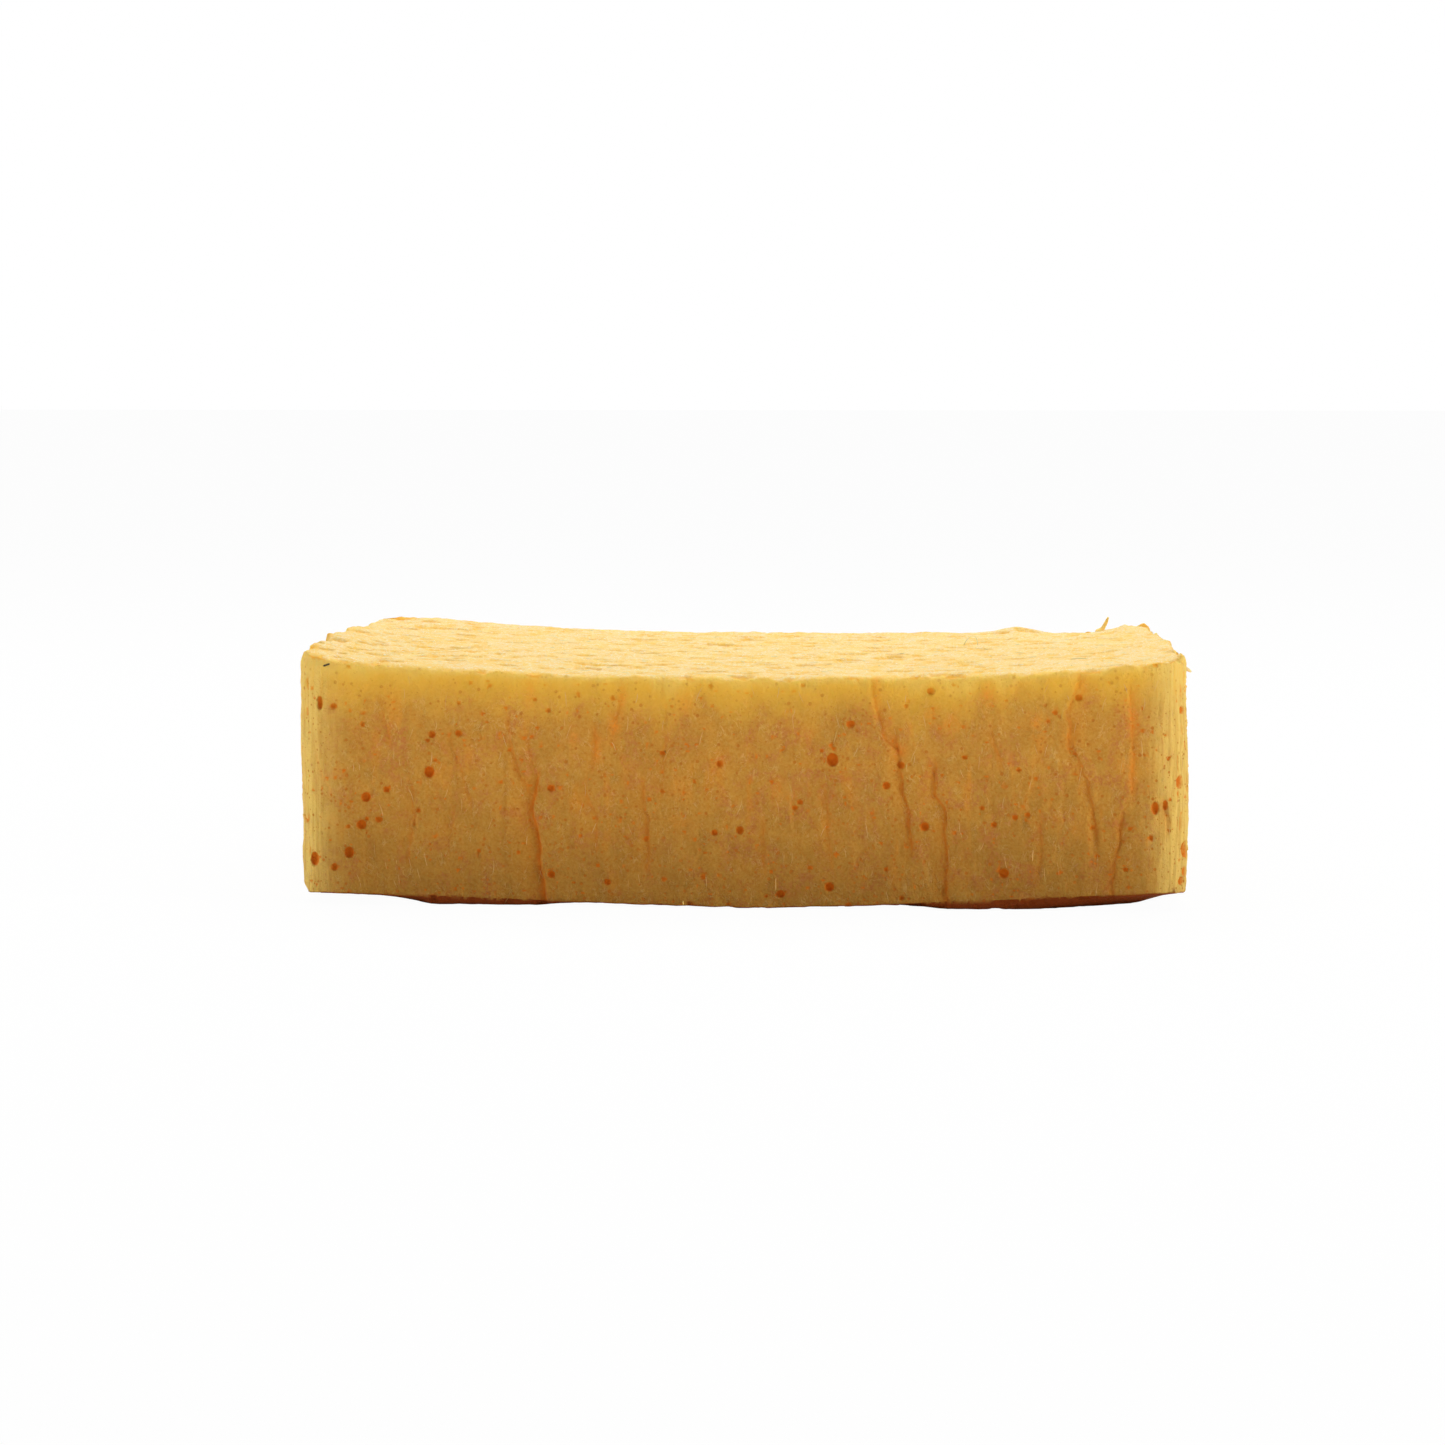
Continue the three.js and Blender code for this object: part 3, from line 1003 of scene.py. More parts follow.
        # Pores, crease grooves and broken rim pores get painted shade: a darker, more saturated orange,
        # brighter within the painted rim glow.
        pit_shade = tree.mix(masks["band"], self.pit_shade, self.rim_pit_shade)
        color = tree.mix(tree.math("MULTIPLY", masks["pit_shade"], 0.95, clamp=True), color, pit_shade)
        # The skin turned under the front lip, painted dark red-brown as the shade under the lifted lip.
        return tree.mix(masks["painted_under_lip_shade"], color, self.painted_under_lip_shade)

    def crumb_color(
        self,
        tree: Tree,
        place: bpy.types.NodeSocket,
        masks: dict[str, bpy.types.NodeSocket],
        grain: bpy.types.Node,
    ) -> bpy.types.NodeSocket:
        """Colours the cut faces.

        Args:
            tree: the material's tree.
            place: the place in millimetres.
            masks: the mesh's masks.
            grain: the crumb's grain.

        Returns:
            The colour's socket.
        """
        drift = Mottle().lay(tree, Place=place, Per_mm=0.16, Start=0.42, Full=0.64).outputs[0]
        color = tree.mix(tree.math("MULTIPLY", drift, 0.5), self.crumb, self.hollow)
        # Painted shade: the low crumbs of the bump relief get the deeper yellow.
        color = tree.mix(tree.math("MULTIPLY", grain.outputs["Shade"], 0.7), color, self.hollow)
        color = tree.mix(tree.math("MULTIPLY", grain.outputs["Glint"], 0.9), color, self.glint)
        # Pores in the cut faces get painted shade, a deeper yellow.
        return tree.mix(tree.math("MULTIPLY", masks["pit_shade"], 0.85, clamp=True), color, self.cell)

    def surface(
        self,
        tree: Tree,
        shader: bpy.types.Node,
        masks: dict[str, bpy.types.NodeSocket],
        grain: bpy.types.Node,
        pins: bpy.types.Node,
        specks: bpy.types.Node,
        upright: bpy.types.Node,
        hide: bpy.types.Node,
    ) -> None:
        """Gives the shader its roughness and its fine bumps.

        Args:
            tree: the material's tree.
            shader: the material's shader.
            masks: the mesh's masks.
            grain: the crumb's grain.
            pins: the larger pinholes.
            specks: the finer pinholes.
            upright: the upright streaks.
            hide: the leathery wrinkles.
        """
        matte = tree.math("MULTIPLY_ADD", masks["cut"], 0.28, 0.56)
        rough = tree.math("MULTIPLY_ADD", grain.outputs["Height"], 0.16, matte, clamp=True)
        tree.tree.links.new(rough, shader.inputs["Roughness"])
        coarse = tree.math("MULTIPLY_ADD", masks["cut"], 0.4, 0.35)
        crumb = tree.math("MULTIPLY", grain.outputs["Height"], coarse)
        fine = tree.math("MULTIPLY", specks.outputs["Height"], 0.08)
        holes = tree.math("MULTIPLY_ADD", pins.outputs["Height"], 0.14, fine)
        ribbed = tree.math("MULTIPLY_ADD", masks["end"], 0.6, 0.04)
        lines = tree.math("MULTIPLY", upright.outputs["Height"], ribbed)
        folds = tree.math("MULTIPLY_ADD", hide.outputs["Height"], 0.35, tree.math("ADD", holes, lines))
        skin = tree.math("MULTIPLY", folds, tree.math("SUBTRACT", 1.0, masks["cut"]))
        height = tree.math("MULTIPLY", tree.math("ADD", crumb, skin), MM)
        bumps = tree.node("ShaderNodeBump", {"Height": height, "Strength": 0.8, "Distance": 1.0})
        tree.tree.links.new(bumps.outputs[0], shader.inputs["Normal"])


@dataclass(frozen=True)
class FibreFinish:
    """A dry plant fibre: its colour, the darker colour of its grooves, and how clear it is."""

    name: str
    color: Color
    groove: Color
    roughness: float = 0.5
    inner: float = 0.3

    def material(self) -> bpy.types.Material:
        """Builds the fibre's material.

        Returns:
            The material.
        """
        made, tree, shader = new_material(self.name)
        place = tree.millimetres()
        lines = Streaks().lay(tree, Place=place, Squash=(7.0, 7.0, 1.2), Start=0.4, Full=0.7)
        tint = Mottle().lay(tree, Place=place, Per_mm=0.8, Start=0.4, Full=0.8).outputs[0]
        color = tree.mix(tree.math("MULTIPLY", lines.outputs["Mask"], 0.7), self.color, self.groove)
        color = tree.mix(tree.math("MULTIPLY", tint, 0.3), color, tuple(0.8 * c for c in self.color))
        tree.tree.links.new(color, shader.inputs["Base Color"])
        rough = tree.math("MULTIPLY_ADD", lines.outputs["Mask"], 0.2, self.roughness)
        tree.tree.links.new(rough, shader.inputs["Roughness"])
        height = tree.math("MULTIPLY", lines.outputs["Height"], 0.05 * MM)
        bumps = tree.node("ShaderNodeBump", {"Height": height, "Strength": 0.6, "Distance": 1.0})
        tree.tree.links.new(bumps.outputs[0], shader.inputs["Normal"])
        shader.inputs["Subsurface Weight"].default_value = self.inner
        shader.inputs["Subsurface Radius"].default_value = (0.5, 0.3, 0.15)
        shader.inputs["Subsurface Scale"].default_value = MM
        return made


STRAW = FibreFinish("straw_fibre", (1.0, 0.74, 0.22), (0.92, 0.56, 0.1))
PALE = FibreFinish("pale_fibre", (0.97, 0.82, 0.46), (0.92, 0.68, 0.28), roughness=0.5)
SKIN_THREAD = FibreFinish("skin_thread", (0.84, 0.5, 0.16), (0.8, 0.42, 0.1), roughness=0.6)
HUSK = FibreFinish("bran_husk", (0.09, 0.05, 0.012), (0.03, 0.018, 0.006), roughness=0.7, inner=0.0)


@dataclass(frozen=True)
class TableFinish:
    """A pale matt table top that the camera sees nearly white."""

    paint: Color = (0.8, 0.8, 0.79)
    seen: float = 0.97

    def material(self) -> bpy.types.Material:
        """Builds the table's material.

        Returns:
            The material.
        """
        made, tree, shader = new_material("table_paint")
        cloud = Mottle().lay(tree, Place=tree.millimetres(), Per_mm=0.01, Start=0.3, Full=0.8).outputs[0]
        color = tree.mix(tree.math("MULTIPLY", cloud, 0.2), self.paint, tuple(0.97 * c for c in self.paint))
        tree.tree.links.new(color, shader.inputs["Base Color"])
        shader.inputs["Roughness"].default_value = 0.9
        shader.inputs["Specular IOR Level"].default_value = 0.1
        white = tree.node("ShaderNodeEmission", {"Color": (1, 1, 1, 1), "Strength": 1.0})
        looked_at = tree.node("ShaderNodeLightPath").outputs["Is Camera Ray"]
        share = tree.math("MULTIPLY", looked_at, self.seen)
        both = tree.node("ShaderNodeMixShader", {0: share, 1: shader.outputs[0], 2: white.outputs[0]})
        output = next(n for n in tree.tree.nodes if n.type == "OUTPUT_MATERIAL")
        tree.tree.links.new(both.outputs[0], output.inputs["Surface"])
        return made


# ---- Meshes ----


def mesh_object(
    name: str, points: np.ndarray, faces: np.ndarray, material: bpy.types.Material
) -> bpy.types.Object:
    """Makes a smooth-shaded object.

    Args:
        name: the piece's name.
        points: vertices in millimetres, one row each.
        faces: vertex numbers, one row of equal length for each face.
        material: its only material.

    Returns:
        The object, in the scene.
    """
    mesh = bpy.data.meshes.new(name)
    sides = faces.shape[1]
    mesh.vertices.add(len(points))
    mesh.vertices.foreach_set("co", (points * MM).astype(np.float32).ravel())
    mesh.loops.add(faces.size)
    mesh.loops.foreach_set("vertex_index", faces.astype(np.int32).ravel())
    mesh.polygons.add(len(faces))
    mesh.polygons.foreach_set("loop_start", np.arange(0, faces.size, sides, dtype=np.int32))
    mesh.polygons.foreach_set("use_smooth", np.ones(len(faces), bool))
    mesh.update(calc_edges=True)
    mesh.validate()
    mesh.materials.append(material)
    made = bpy.data.objects.new(name, mesh)
    bpy.context.scene.collection.objects.link(made)
    return made


def swept(
    route: np.ndarray, radii: np.ndarray, sides: int, flatness: float = 1.0
) -> tuple[np.ndarray, np.ndarray]:
    """A closed tube of changing thickness along a route.

    Args:
        route: points of its centre line, one row each.
        radii: its radius at each of them.
        sides: corners of its section.
        flatness: thickness of the section as a share of its width.

    Returns:
        The tube's vertices and its four-cornered faces; the ends are closed by narrow faces.
    """
    along = np.gradient(route, axis=0)
    along /= np.linalg.norm(along, axis=1, keepdims=True)
    spare = np.array([0.0, 1.0, 0.0]) if abs(along[0, 1]) < 0.8 else np.array([1.0, 0.0, 0.0])
    across = np.cross(along, spare)
    across /= np.linalg.norm(across, axis=1, keepdims=True)
    other = np.cross(along, across)
    angles = np.linspace(0, 2 * math.pi, sides, endpoint=False)
    cosines, sines = np.cos(angles)[None, :, None], np.sin(angles)[None, :, None]
    ring = cosines * across[:, None] + flatness * sines * other[:, None]
    points = (route[:, None] + ring * radii[:, None, None]).reshape(-1, 3)
    rows = np.arange(len(route) - 1)[:, None] * sides
    here, there = np.arange(sides)[None], (np.arange(sides)[None] + 1) % sides
    next_rows = rows + sides
    walls = np.stack([rows + here, rows + there, next_rows + there, next_rows + here], axis=-1).reshape(-1, 4)
    half = sides // 2
    low = np.arange(half - 1)
    cap = np.stack([low, sides - 1 - low, sides - 2 - low, low + 1], axis=-1)
    last = (len(route) - 1) * sides
    return points, np.concatenate([walls[:, ::-1], cap[:, ::-1], cap + last])


# ---- The foam block ----

CREASES = (
    Crease(((26, 47), (26, 40), (28, 33.5), (31, 31)), 0.4, 0.2, 1.4, turned=True),
    Crease(((30.5, 33), (31.5, 25), (33, 18.5), (33.5, 12.5)), 0.5, 0.25, 0.9),
    Crease(((38, 28), (38, 22.5), (40, 20), (40, 15.5), (41, 10.5), (40, 0)), 0.5, 0.25, 1.1),
    Crease(((-45, 36), (-44.5, 30.5), (-43, 26), (-41, 22)), 0.3, 0.15, 1.2),
    Crease(((-39.5, 25), (-40.5, 19.5), (-39.5, 13), (-37.5, -3)), 0.75, 0.4, 2.2),
    Crease(((-41.5, 33), (-40, 26)), 0.2, 0.12),
    Crease(((-64.5, 24), (-64, 17), (-65, 9)), 0.25, 0.15),
    Crease(((-56, 18), (-57, 12)), 0.2, 0.12),
    Crease(((-28, 35), (-28.5, 28)), 0.25, 0.15),
    Crease(((-23, 42), (-24.5, 33.5)), 0.2, 0.1, 1.4),
    Crease(((-30, 23), (-28, 18), (-28, 12)), 0.25, 0.15, 1.6),
    Crease(((-15, 47), (-14.5, 38), (-15, 24)), 0.18, 0.12, 2.0),
    Crease(((-19, 24), (-18, 18), (-18, 8)), 0.35, 0.2, 1.6),
    Crease(((49, 35), (51, 29)), 0.3, 0.15),
    Crease(((65.5, 45), (63.5, 39), (64, 33)), 0.35, 0.2, 1.8, turned=True),
    Crease(((64.5, 32), (67.5, 26), (69.5, 14)), 0.35, 0.15),
    Crease(((75.5, 44), (76, 34), (76, 24)), 0.3, 0.12, 2.2, turned=True),
    Crease(((74.5, 18), (73.5, 12), (72.5, 3)), 0.4, 0.3, 0.8),
    Crease(((82, 21), (83.5, 16)), 0.3, 0.3, 0.6),
    Crease(((58.5, 18), (58.5, 8)), 0.25, 0.15),
    Crease(((4.5, 17), (5, 8)), 0.25, 0.15),
    Crease(((17, 24), (18, 9)), 0.22, 0.1),
    Crease(((-46, 31), (-46, 9)), 0.04, 0.28, 0.3),
    Crease(((-83.5, 29), (-80.5, 22)), 0.2, 0.2, 0.6),
    Crease(((-70.5, 41), (-68.5, 32)), 0.18, 0.2, 0.8),
    Crease(((-57, 33), (-54.5, 26), (-52.5, 21)), 0.22, 0.15, 0.9),
)

# Spots of brighter orange in the front skin, most of them on the creases.
STAINS = (
    Stain(-23, 41, 0.8, 3),
    Stain(-24.5, 36, 1.1, 2, 0.9),
    Stain(-28, 31, 1, 3, 0.8),
    Stain(-32.5, 33.5, 0.8, 2, 0.5),
    Stain(-41, 42.5, 0.9, 2.5, 0.6),
    Stain(26.5, 43.5, 0.8, 4.5, 0.7),
    Stain(37, 38.5, 1.5, 1.5, 0.5),
    Stain(31, 31, 1.2, 1.2, 0.5),
    Stain(48, 42, 1.3, 2.5, 0.6),
    Stain(57.5, 37, 1.4, 1.4, 0.6),
    Stain(66, 44.5, 1.2, 2.2, 0.7),
    Stain(64, 34.5, 1.8, 2.4, 0.4),
    Stain(76, 38, 0.9, 3, 0.8),
    Stain(76, 28, 0.8, 4, 0.7),
)

# Larger pores in the front skin: right of the middle, height, mouth half-width and half-height.
SKIN_PORES = (
    (-61, 26.5, 1.3, 1.4), (-73.5, 21.5, 1.2, 1.2), (-74.5, 16, 1.2, 1.2), (-77, 10.5, 1.2, 1.4),
    (-69.5, 23, 0.8, 0.8), (-82.5, 40, 0.7, 1.7), (-84, 9, 1.1, 1.7), (-80, 7.5, 0.8, 1),
    (-37, 23.5, 0.9, 0.9), (-37, 6.5, 0.9, 0.9), (-26, 5, 0.9, 0.8), (-4, 28.5, 0.8, 0.9),
    (-5, 15, 0.8, 0.8), (0, 15.5, 0.9, 1), (8, 3, 1.1, 0.9), (17.5, 4.5, 1.1, 1.1),
    (18, 29.5, 1.4, 1.6), (21.5, 36.5, 1.1, 0.9), (28.5, 24.5, 0.9, 0.9), (37, 43, 0.9, 0.9),
    (36, 16.5, 1.1, 1.1), (49.5, 17, 0.8, 0.7), (53.5, 18.5, 0.7, 0.7), (56, 19, 0.7, 0.7),
    (51.5, 7.5, 1.2, 1.2), (80.5, 20.5, 0.9, 1.6), (82.5, 21, 0.6, 1.3),
)

# Broken pores along the left end's rim: back of the middle, and size.
RIM_STEPS = ((-46, 2.0), (-35, 2.6), (-22, 2.2), (-9, 2.8), (8, 2.6), (26, 3.0), (41, 2.4))

# Slits in the right end, near the front corner: back of the middle, height, half-width and half-height.
CORNER_SLITS = (
    (-50.8, 42.5, 0.5, 2.1), (-50.9, 36.5, 0.3, 3.2), (-53.0, 39.0, 0.25, 1.8), (-51.5, 17.5, 0.35, 2.4),
    (-53.2, 12.0, 0.25, 2.6), (-49.5, 25.0, 0.3, 2.8), (-52.4, 29.0, 0.25, 2.2),
)


@dataclass
class SpongeBlock:
    """The foam block: form, curl, creases, pores and the crumb of its cut faces.

    pitch is the lattice's spacing along X, Y and Z, and triangles is how many are left when the flat
    stretches are thinned out.
    """

    low: Point
    high: Point
    pitch: Point = (0.34, 0.55, 0.34)
    triangles: int = 196_000
    mouth_scale: float = 0.85
    pale_end: tuple[float, float] = (12.0, 12.0)
    tucked: float = 7.0
    rim_bites: int = 46
    faint_stain_count: int = 18
    faint_stain_heights: tuple[float, float] = (15.0, 43.0)
    seed: int = 7
    fill: float = 0.85
    finish: FoamFinish = FoamFinish()
    lumps: tuple[Lump, ...] = (
        Lump(56.5, 52.0, 4.5, 1.3),
        Lump(81.5, 50.0, 5.0, 1.5),
        Lump(84.0, -44.0, 5.0, 1.1),
        Lump(88.0, -12.0, 14.0, 1.9),
        Lump(88.0, 20.0, 10.0, 1.1),
        Lump(-87.0, -50.0, 5.0, 1.0),
        Lump(-87.0, -34.0, 8.0, 1.6),
        Lump(-87.0, -14.0, 9.0, 1.8),
        Lump(-87.0, 6.0, 9.0, 1.4),
        Lump(-74.0, 46.0, 8.0, 0.8),
    )

    def form(self) -> Form:
        """The outer form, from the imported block's size."""
        length, depth, height = (high - low for low, high in zip(self.low, self.high))
        return Form(length=length, depth=depth, height=height)

    def lattice(self, form: Form) -> tuple[np.ndarray, np.ndarray, np.ndarray]:
        """The lattice's lines: even, with a few closer ones along every edge.

        Args:
            form: the block's outer form.

        Returns:
            The lines along X and Y, and up as a share of the height.
        """
        sizes = (form.length, form.depth, form.thickness)
        edge = np.linspace(0, form.rim_radius, 7)[:-1]
        lines = []
        for size, pitch in zip(sizes, self.pitch):
            count = round((size - 2 * form.rim_radius) / pitch)
            inner = np.linspace(form.rim_radius, size - form.rim_radius, count + 1)
            lines.append(np.concatenate([edge, inner, (size - edge)[::-1]]))
        return lines[0] - form.length / 2, lines[1] - form.depth / 2, lines[2] / form.thickness

    def build(self) -> bpy.types.Object:
        """Makes the block's mesh.

        Returns:
            The foam block.
        """
        form = self.form()
        skin = Skin.wrap(form, self.lattice(form))
        for lump in self.lumps:
            lump.heave(skin)
        self.shrink(skin)
        for crease in CREASES:
            crease.press(skin)
        for stain in STAINS + self.faint_stains():
            stain.soak(skin)
        self.crumble(skin)
        self.blow_pores(skin)
        for bite in self.bites(form):
            bite.take(skin)
        self.paint_masks(skin)
        return self.finished(skin)

    def shrink(self, skin: Skin) -> None:
        """Lets the walls draw in unevenly, as drying does: broad waves, upright wrinkles and fine puckers.

        Args:
            skin: the surface to work.
        """
        points = skin.points
        waves = 0.35 * Noise(3, (22.0, 22.0, 30.0), 2).at(points)
        wrinkle = 1 - np.abs(Noise(11, (6.5, 6.5, 34.0), 2).at(points))
        pucker = Noise(12, (2.2, 2.2, 3.4), 2).at(points)
        crest_thread_highlight = 1 - np.abs(Noise(16, (1.5, 1.5, 5.0), 2).at(points))
        wall = waves + 0.3 * (wrinkle**3 - 0.5) + 0.2 * pucker + 0.16 * crest_thread_highlight**4 + self.panels(points)
        still = np.zeros(len(points))
        skin.swell(wall, still, still)

    def panels(self, points: np.ndarray) -> np.ndarray:
        """Upright panels of skin that overlap like shingles, in places.

        Args:
            points: places on the walls.

        Returns:
            How far each place stands out.
        """
        along = points[:, 0] + points[:, 1]
        bend = 4.0 * Noise(13, (13.0, 13.0, 13.0), 2).at(points)
        bend = bend + 0.9 * Noise(14, (2.5, 2.5, 3.0), 2).at(points)
        phase = (along + bend) / 6.5
        shingle = (phase - np.floor(phase)) ** 2 - 0.4
        return 0.3 * shingle * ease(0.0, 0.6, Noise(15, (8.0, 8.0, 11.0)).at(points))

    def crumble(self, skin: Skin) -> None:
        """Roughens the cut faces and their rims.

        Args:
            skin: the surface to work.
        """
        points = skin.points
        swell = 0.35 * Noise(5, (16.0, 16.0, 16.0), 2).at(points)
        ridges = 1 - 2 * np.abs(Noise(21, (5.5, 3.2, 5.0), 3).at(points))
        crumb = Noise(22, (1.9, 1.5, 1.6), 2).at(points)
        ragged = 0.4 + 1.2 * ease(64.0, 82.0, points[:, 0])
        rim = Noise(23, (2.5, 2.5, 2.5), 2).at(points) * ease(2.6, 0.2, skin.rim_distance) * ragged
        top = swell + 0.16 * ridges + 0.14 * crumb + rim
        under = 0.1 + 0.1 * crumb
        wall = 0.38 * Noise(24, (2.4, 2.4, 2.4), 2).at(points) * np.maximum(skin.top, skin.under)
        skin.swell(wall, top, under)

    def scatter(
        self,
        side: Side,
        count: int,
        sizes: tuple[float, float],
        stretch: float,
        seed: int,
        lip: float = 0.0,
        sink: tuple[float, float] = (-0.6, 0.15),
    ) -> Pores:
        """Random pores over a whole face.

        Args:
            side: the face.
            count: how many pores.
            sizes: mouth half-width of the smallest and of the largest.
            stretch: the longest mouth's width as a share of its height.
            seed: which random draw.
            lip: height of the raised lip, as a share of the mouth.
            sink: how deep the bubbles' centres lie, from the least to the most.

        Returns:
            The pores.
        """
        draw = np.random.default_rng(self.seed + seed)
        low, high = np.array(self.low)[list(side.across)], np.array(self.high)[list(side.across)]
        places = draw.uniform(low, high, (count, 2))
        size = sizes[0] + (sizes[1] - sizes[0]) * draw.uniform(0, 1, count) ** 3
        longer = draw.uniform(min(1, stretch), max(1, stretch), count)
        mouths = np.stack([size * longer, size], axis=1)
        sinks = draw.uniform(*sink, count)
        return Pores(side, places, mouths, sinks, lip)

    def faint_stains(self) -> tuple[Stain, ...]:
        """Faint spots of dye at random places in the upper two thirds of the front skin."""
        draw = np.random.default_rng(self.seed + 40)
        stains = []
        for _ in range(self.faint_stain_count):
            x = draw.uniform(self.low[0] + 2, self.high[0] - 4)
            z = draw.uniform(*self.faint_stain_heights)
            stains.append(Stain(x, z, draw.uniform(0.7, 2.2), draw.uniform(0.9, 2.4), draw.uniform(0.3, 0.5)))
        return tuple(stains)

    def listed(self, side: Side, rows: tuple, sink: float, lip: float) -> Pores:
        """Pores at chosen places.

        Args:
            side: the face.
            rows: place and mouth of each pore.
            sink: how deep the bubbles' centres lie.
            lip: height of the raised lip, as a share of the mouth.

        Returns:
            The pores.
        """
        table = np.array(rows)
        return Pores(side, table[:, :2], self.mouth_scale * table[:, 2:], np.full(len(table), sink), lip)

    def blow_pores(self, skin: Skin) -> None:
        """Opens the pores of all six faces.

        Args:
            skin: the surface to work.
        """
        self.listed(Side.FRONT, SKIN_PORES, -0.05, 0.18).open_up(skin)
        middling = self.scatter(Side.FRONT, 16, (0.5, 0.75), stretch=1.2, seed=9, lip=0.15, sink=(-0.1, 0.0))
        middling.open_up(skin)
        self.scatter(Side.FRONT, 420, (0.24, 0.5), stretch=1.3, seed=1, lip=0.12).open_up(skin)
        self.scatter(Side.BACK, 300, (0.3, 1.3), stretch=1.3, seed=2, lip=0.14).open_up(skin)
        self.scatter(Side.LEFT, 160, (0.3, 1.2), stretch=1.2, seed=3, lip=0.14).open_up(skin)
        self.scatter(Side.RIGHT, 160, (0.3, 1.0), stretch=1.2, seed=4, lip=0.14).open_up(skin)
        self.listed(Side.RIGHT, CORNER_SLITS, -0.2, 0.1).open_up(skin)
        self.scatter(Side.RIGHT, 260, (0.8, 2.8), stretch=0.12, seed=7, lip=0.1).open_up(skin)
        self.scatter(Side.LEFT, 120, (0.8, 2.2), stretch=0.12, seed=8, lip=0.1).open_up(skin)
        self.scatter(Side.TOP, 24, (1.3, 2.2), stretch=1.5, seed=10, sink=(-0.5, -0.4)).open_up(skin)
        self.scatter(Side.TOP, 1300, (0.5, 1.9), stretch=2.2, seed=5, sink=(-0.85, -0.35)).open_up(skin)
        self.scatter(Side.UNDER, 600, (0.6, 2.2), stretch=1.8, seed=6).open_up(skin)

    def bites(self, form: Form) -> list[Bite]:
        """Broken pores along the rims: a row of steps on the left rim, and a few random ones elsewhere.

        Args:
            form: the block's outer form.

        Returns:
            The bites.
        """
        left = -form.length / 2
        found = []
        for y, size in RIM_STEPS:
            top = float(form.top(np.array([left]), np.array([float(y)]))[0])
            middle = (left - 0.6 * size, y, top + 0.7 * size)
            found.append(Bite(middle, (1.5 * size, 0.9 * size, 1.2 * size)))
        draw = np.random.default_rng(self.seed + 30)
        for _ in range(self.rim_bites):
            turn = draw.uniform(0, 2 * math.pi)
            x = np.array([np.clip(1.2 * math.cos(turn), -1, 1) * form.length / 2])
            y = np.array([np.clip(1.2 * math.sin(turn), -1, 1) * form.depth / 2])
            if y[0] < -0.99 * form.depth / 2:
                continue
            x, y = form.plan(x, y)
            size = draw.uniform(0.5, 1.3)
            middle = (float(x[0]), float(y[0]), float(form.top(x, y)[0]) + 0.7 * size)
            found.append(Bite(middle, (1.6 * size, size, size)))
        return found

    def paint_masks(self, skin: Skin) -> None:
        """Marks the cut faces, the painted glow under the top rim and its pale tongues, the painted shade
        towards the base, the pale ends with their painted side light, and the painted shade under the front
        lip.

        Args:
            skin: the surface to work.
        """
        start_x, _, up = skin.start.T
        points = skin.points
        below = (1 - up) * skin.form.thickness
        ragged = Noise(31, (2.6, 2.6, 2.4), 3).at(points)
        scallop = Noise(32, (8.5, 8.5, 60.0), 2).at(points)
        tongue = ease(0.2, 0.8, Noise(33, (7.0, 7.0, 60.0), 2).at(points))
        on_top = skin.on(Side.TOP) & (below <= 0)
        cut_top = np.where(
            on_top,
            ease(-0.2, 1.4, skin.rim_distance + 0.6 * ragged),
            0.2 * ease(0.7, 0.0, below + 0.5 * ragged - 0.5 * tongue),
        )
        cut_under = ease(0.6, -0.2, up * skin.form.thickness + 0.3 * ragged)
        # The underside stays skin for tucked millimetres behind the front; that strip gets the painted shade
        # under the lip.
        cut_under *= ease(self.tucked, self.tucked + 4, points[:, 1] - self.low[1] + 2 * ragged)
        skin.masks["cut"] = np.maximum(cut_top, cut_under)
        depth = np.maximum(9.5 + 5.5 * scallop + 3.0 * ragged + 4 * tongue, 3.0)
        # A painted glow under the top rim, of uneven depth.
        skin.masks["band"] = ease(1.15, -0.1, below / depth)
        # Pale tongues below the rim, for the painted glow.
        skin.masks["painted_tongue_glow"] = ease(1.0, 0.2, below / (2.2 + 1.2 * ragged + 3.6 * tongue))
        # Painted shade, growing towards the base of the walls.
        skin.masks["painted_low_shade"] = ease(0.6, 0.0, up)
        # Pale strips at both ends: partly their own colour, partly painted side light.
        pale_width = np.where(start_x > 0, self.pale_end[1], self.pale_end[0])
        from_end = pale_width - (skin.form.length / 2 - np.abs(start_x))
        skin.masks["end"] = ease(0.0, 10.5, from_end + 1.2 * scallop + 0.8 * ragged) * (1 - skin.masks["cut"])
        # The skin turned under along the front, painted dark as the shade under the lifted lip.
        skin.masks["painted_under_lip_shade"] = (1 - cut_under) * skin.on(Side.UNDER)
        for name in ("warm", "ember"):
            skin.mask(name)

    def finished(self, skin: Skin) -> bpy.types.Object:
        """Turns the worked surface into the final object.

        Args:
            skin: the worked surface.

        Returns:
            The foam block, thinned out to its number of triangles.
        """
        skin.points[:, 2] = np.maximum(skin.points[:, 2], 0.02)
        block = mesh_object("foam_block", skin.points, skin.quads, self.finish.material())
        for name, values in skin.masks.items():
            attribute = block.data.attributes.new(name, "FLOAT", "POINT")
            attribute.data.foreach_set("value", values.astype(np.float32))
        self.unfold(skin, block.data)
        thin = block.modifiers.new("thin", "DECIMATE")
        thin.ratio = self.triangles / (2 * len(skin.quads))
        bpy.context.view_layer.update()
        thinned = bpy.data.meshes.new_from_object(block.evaluated_get(bpy.context.evaluated_depsgraph_get()))
        block.modifiers.clear()
        block.data = thinned
        thinned.name = "foam_block"
        return block

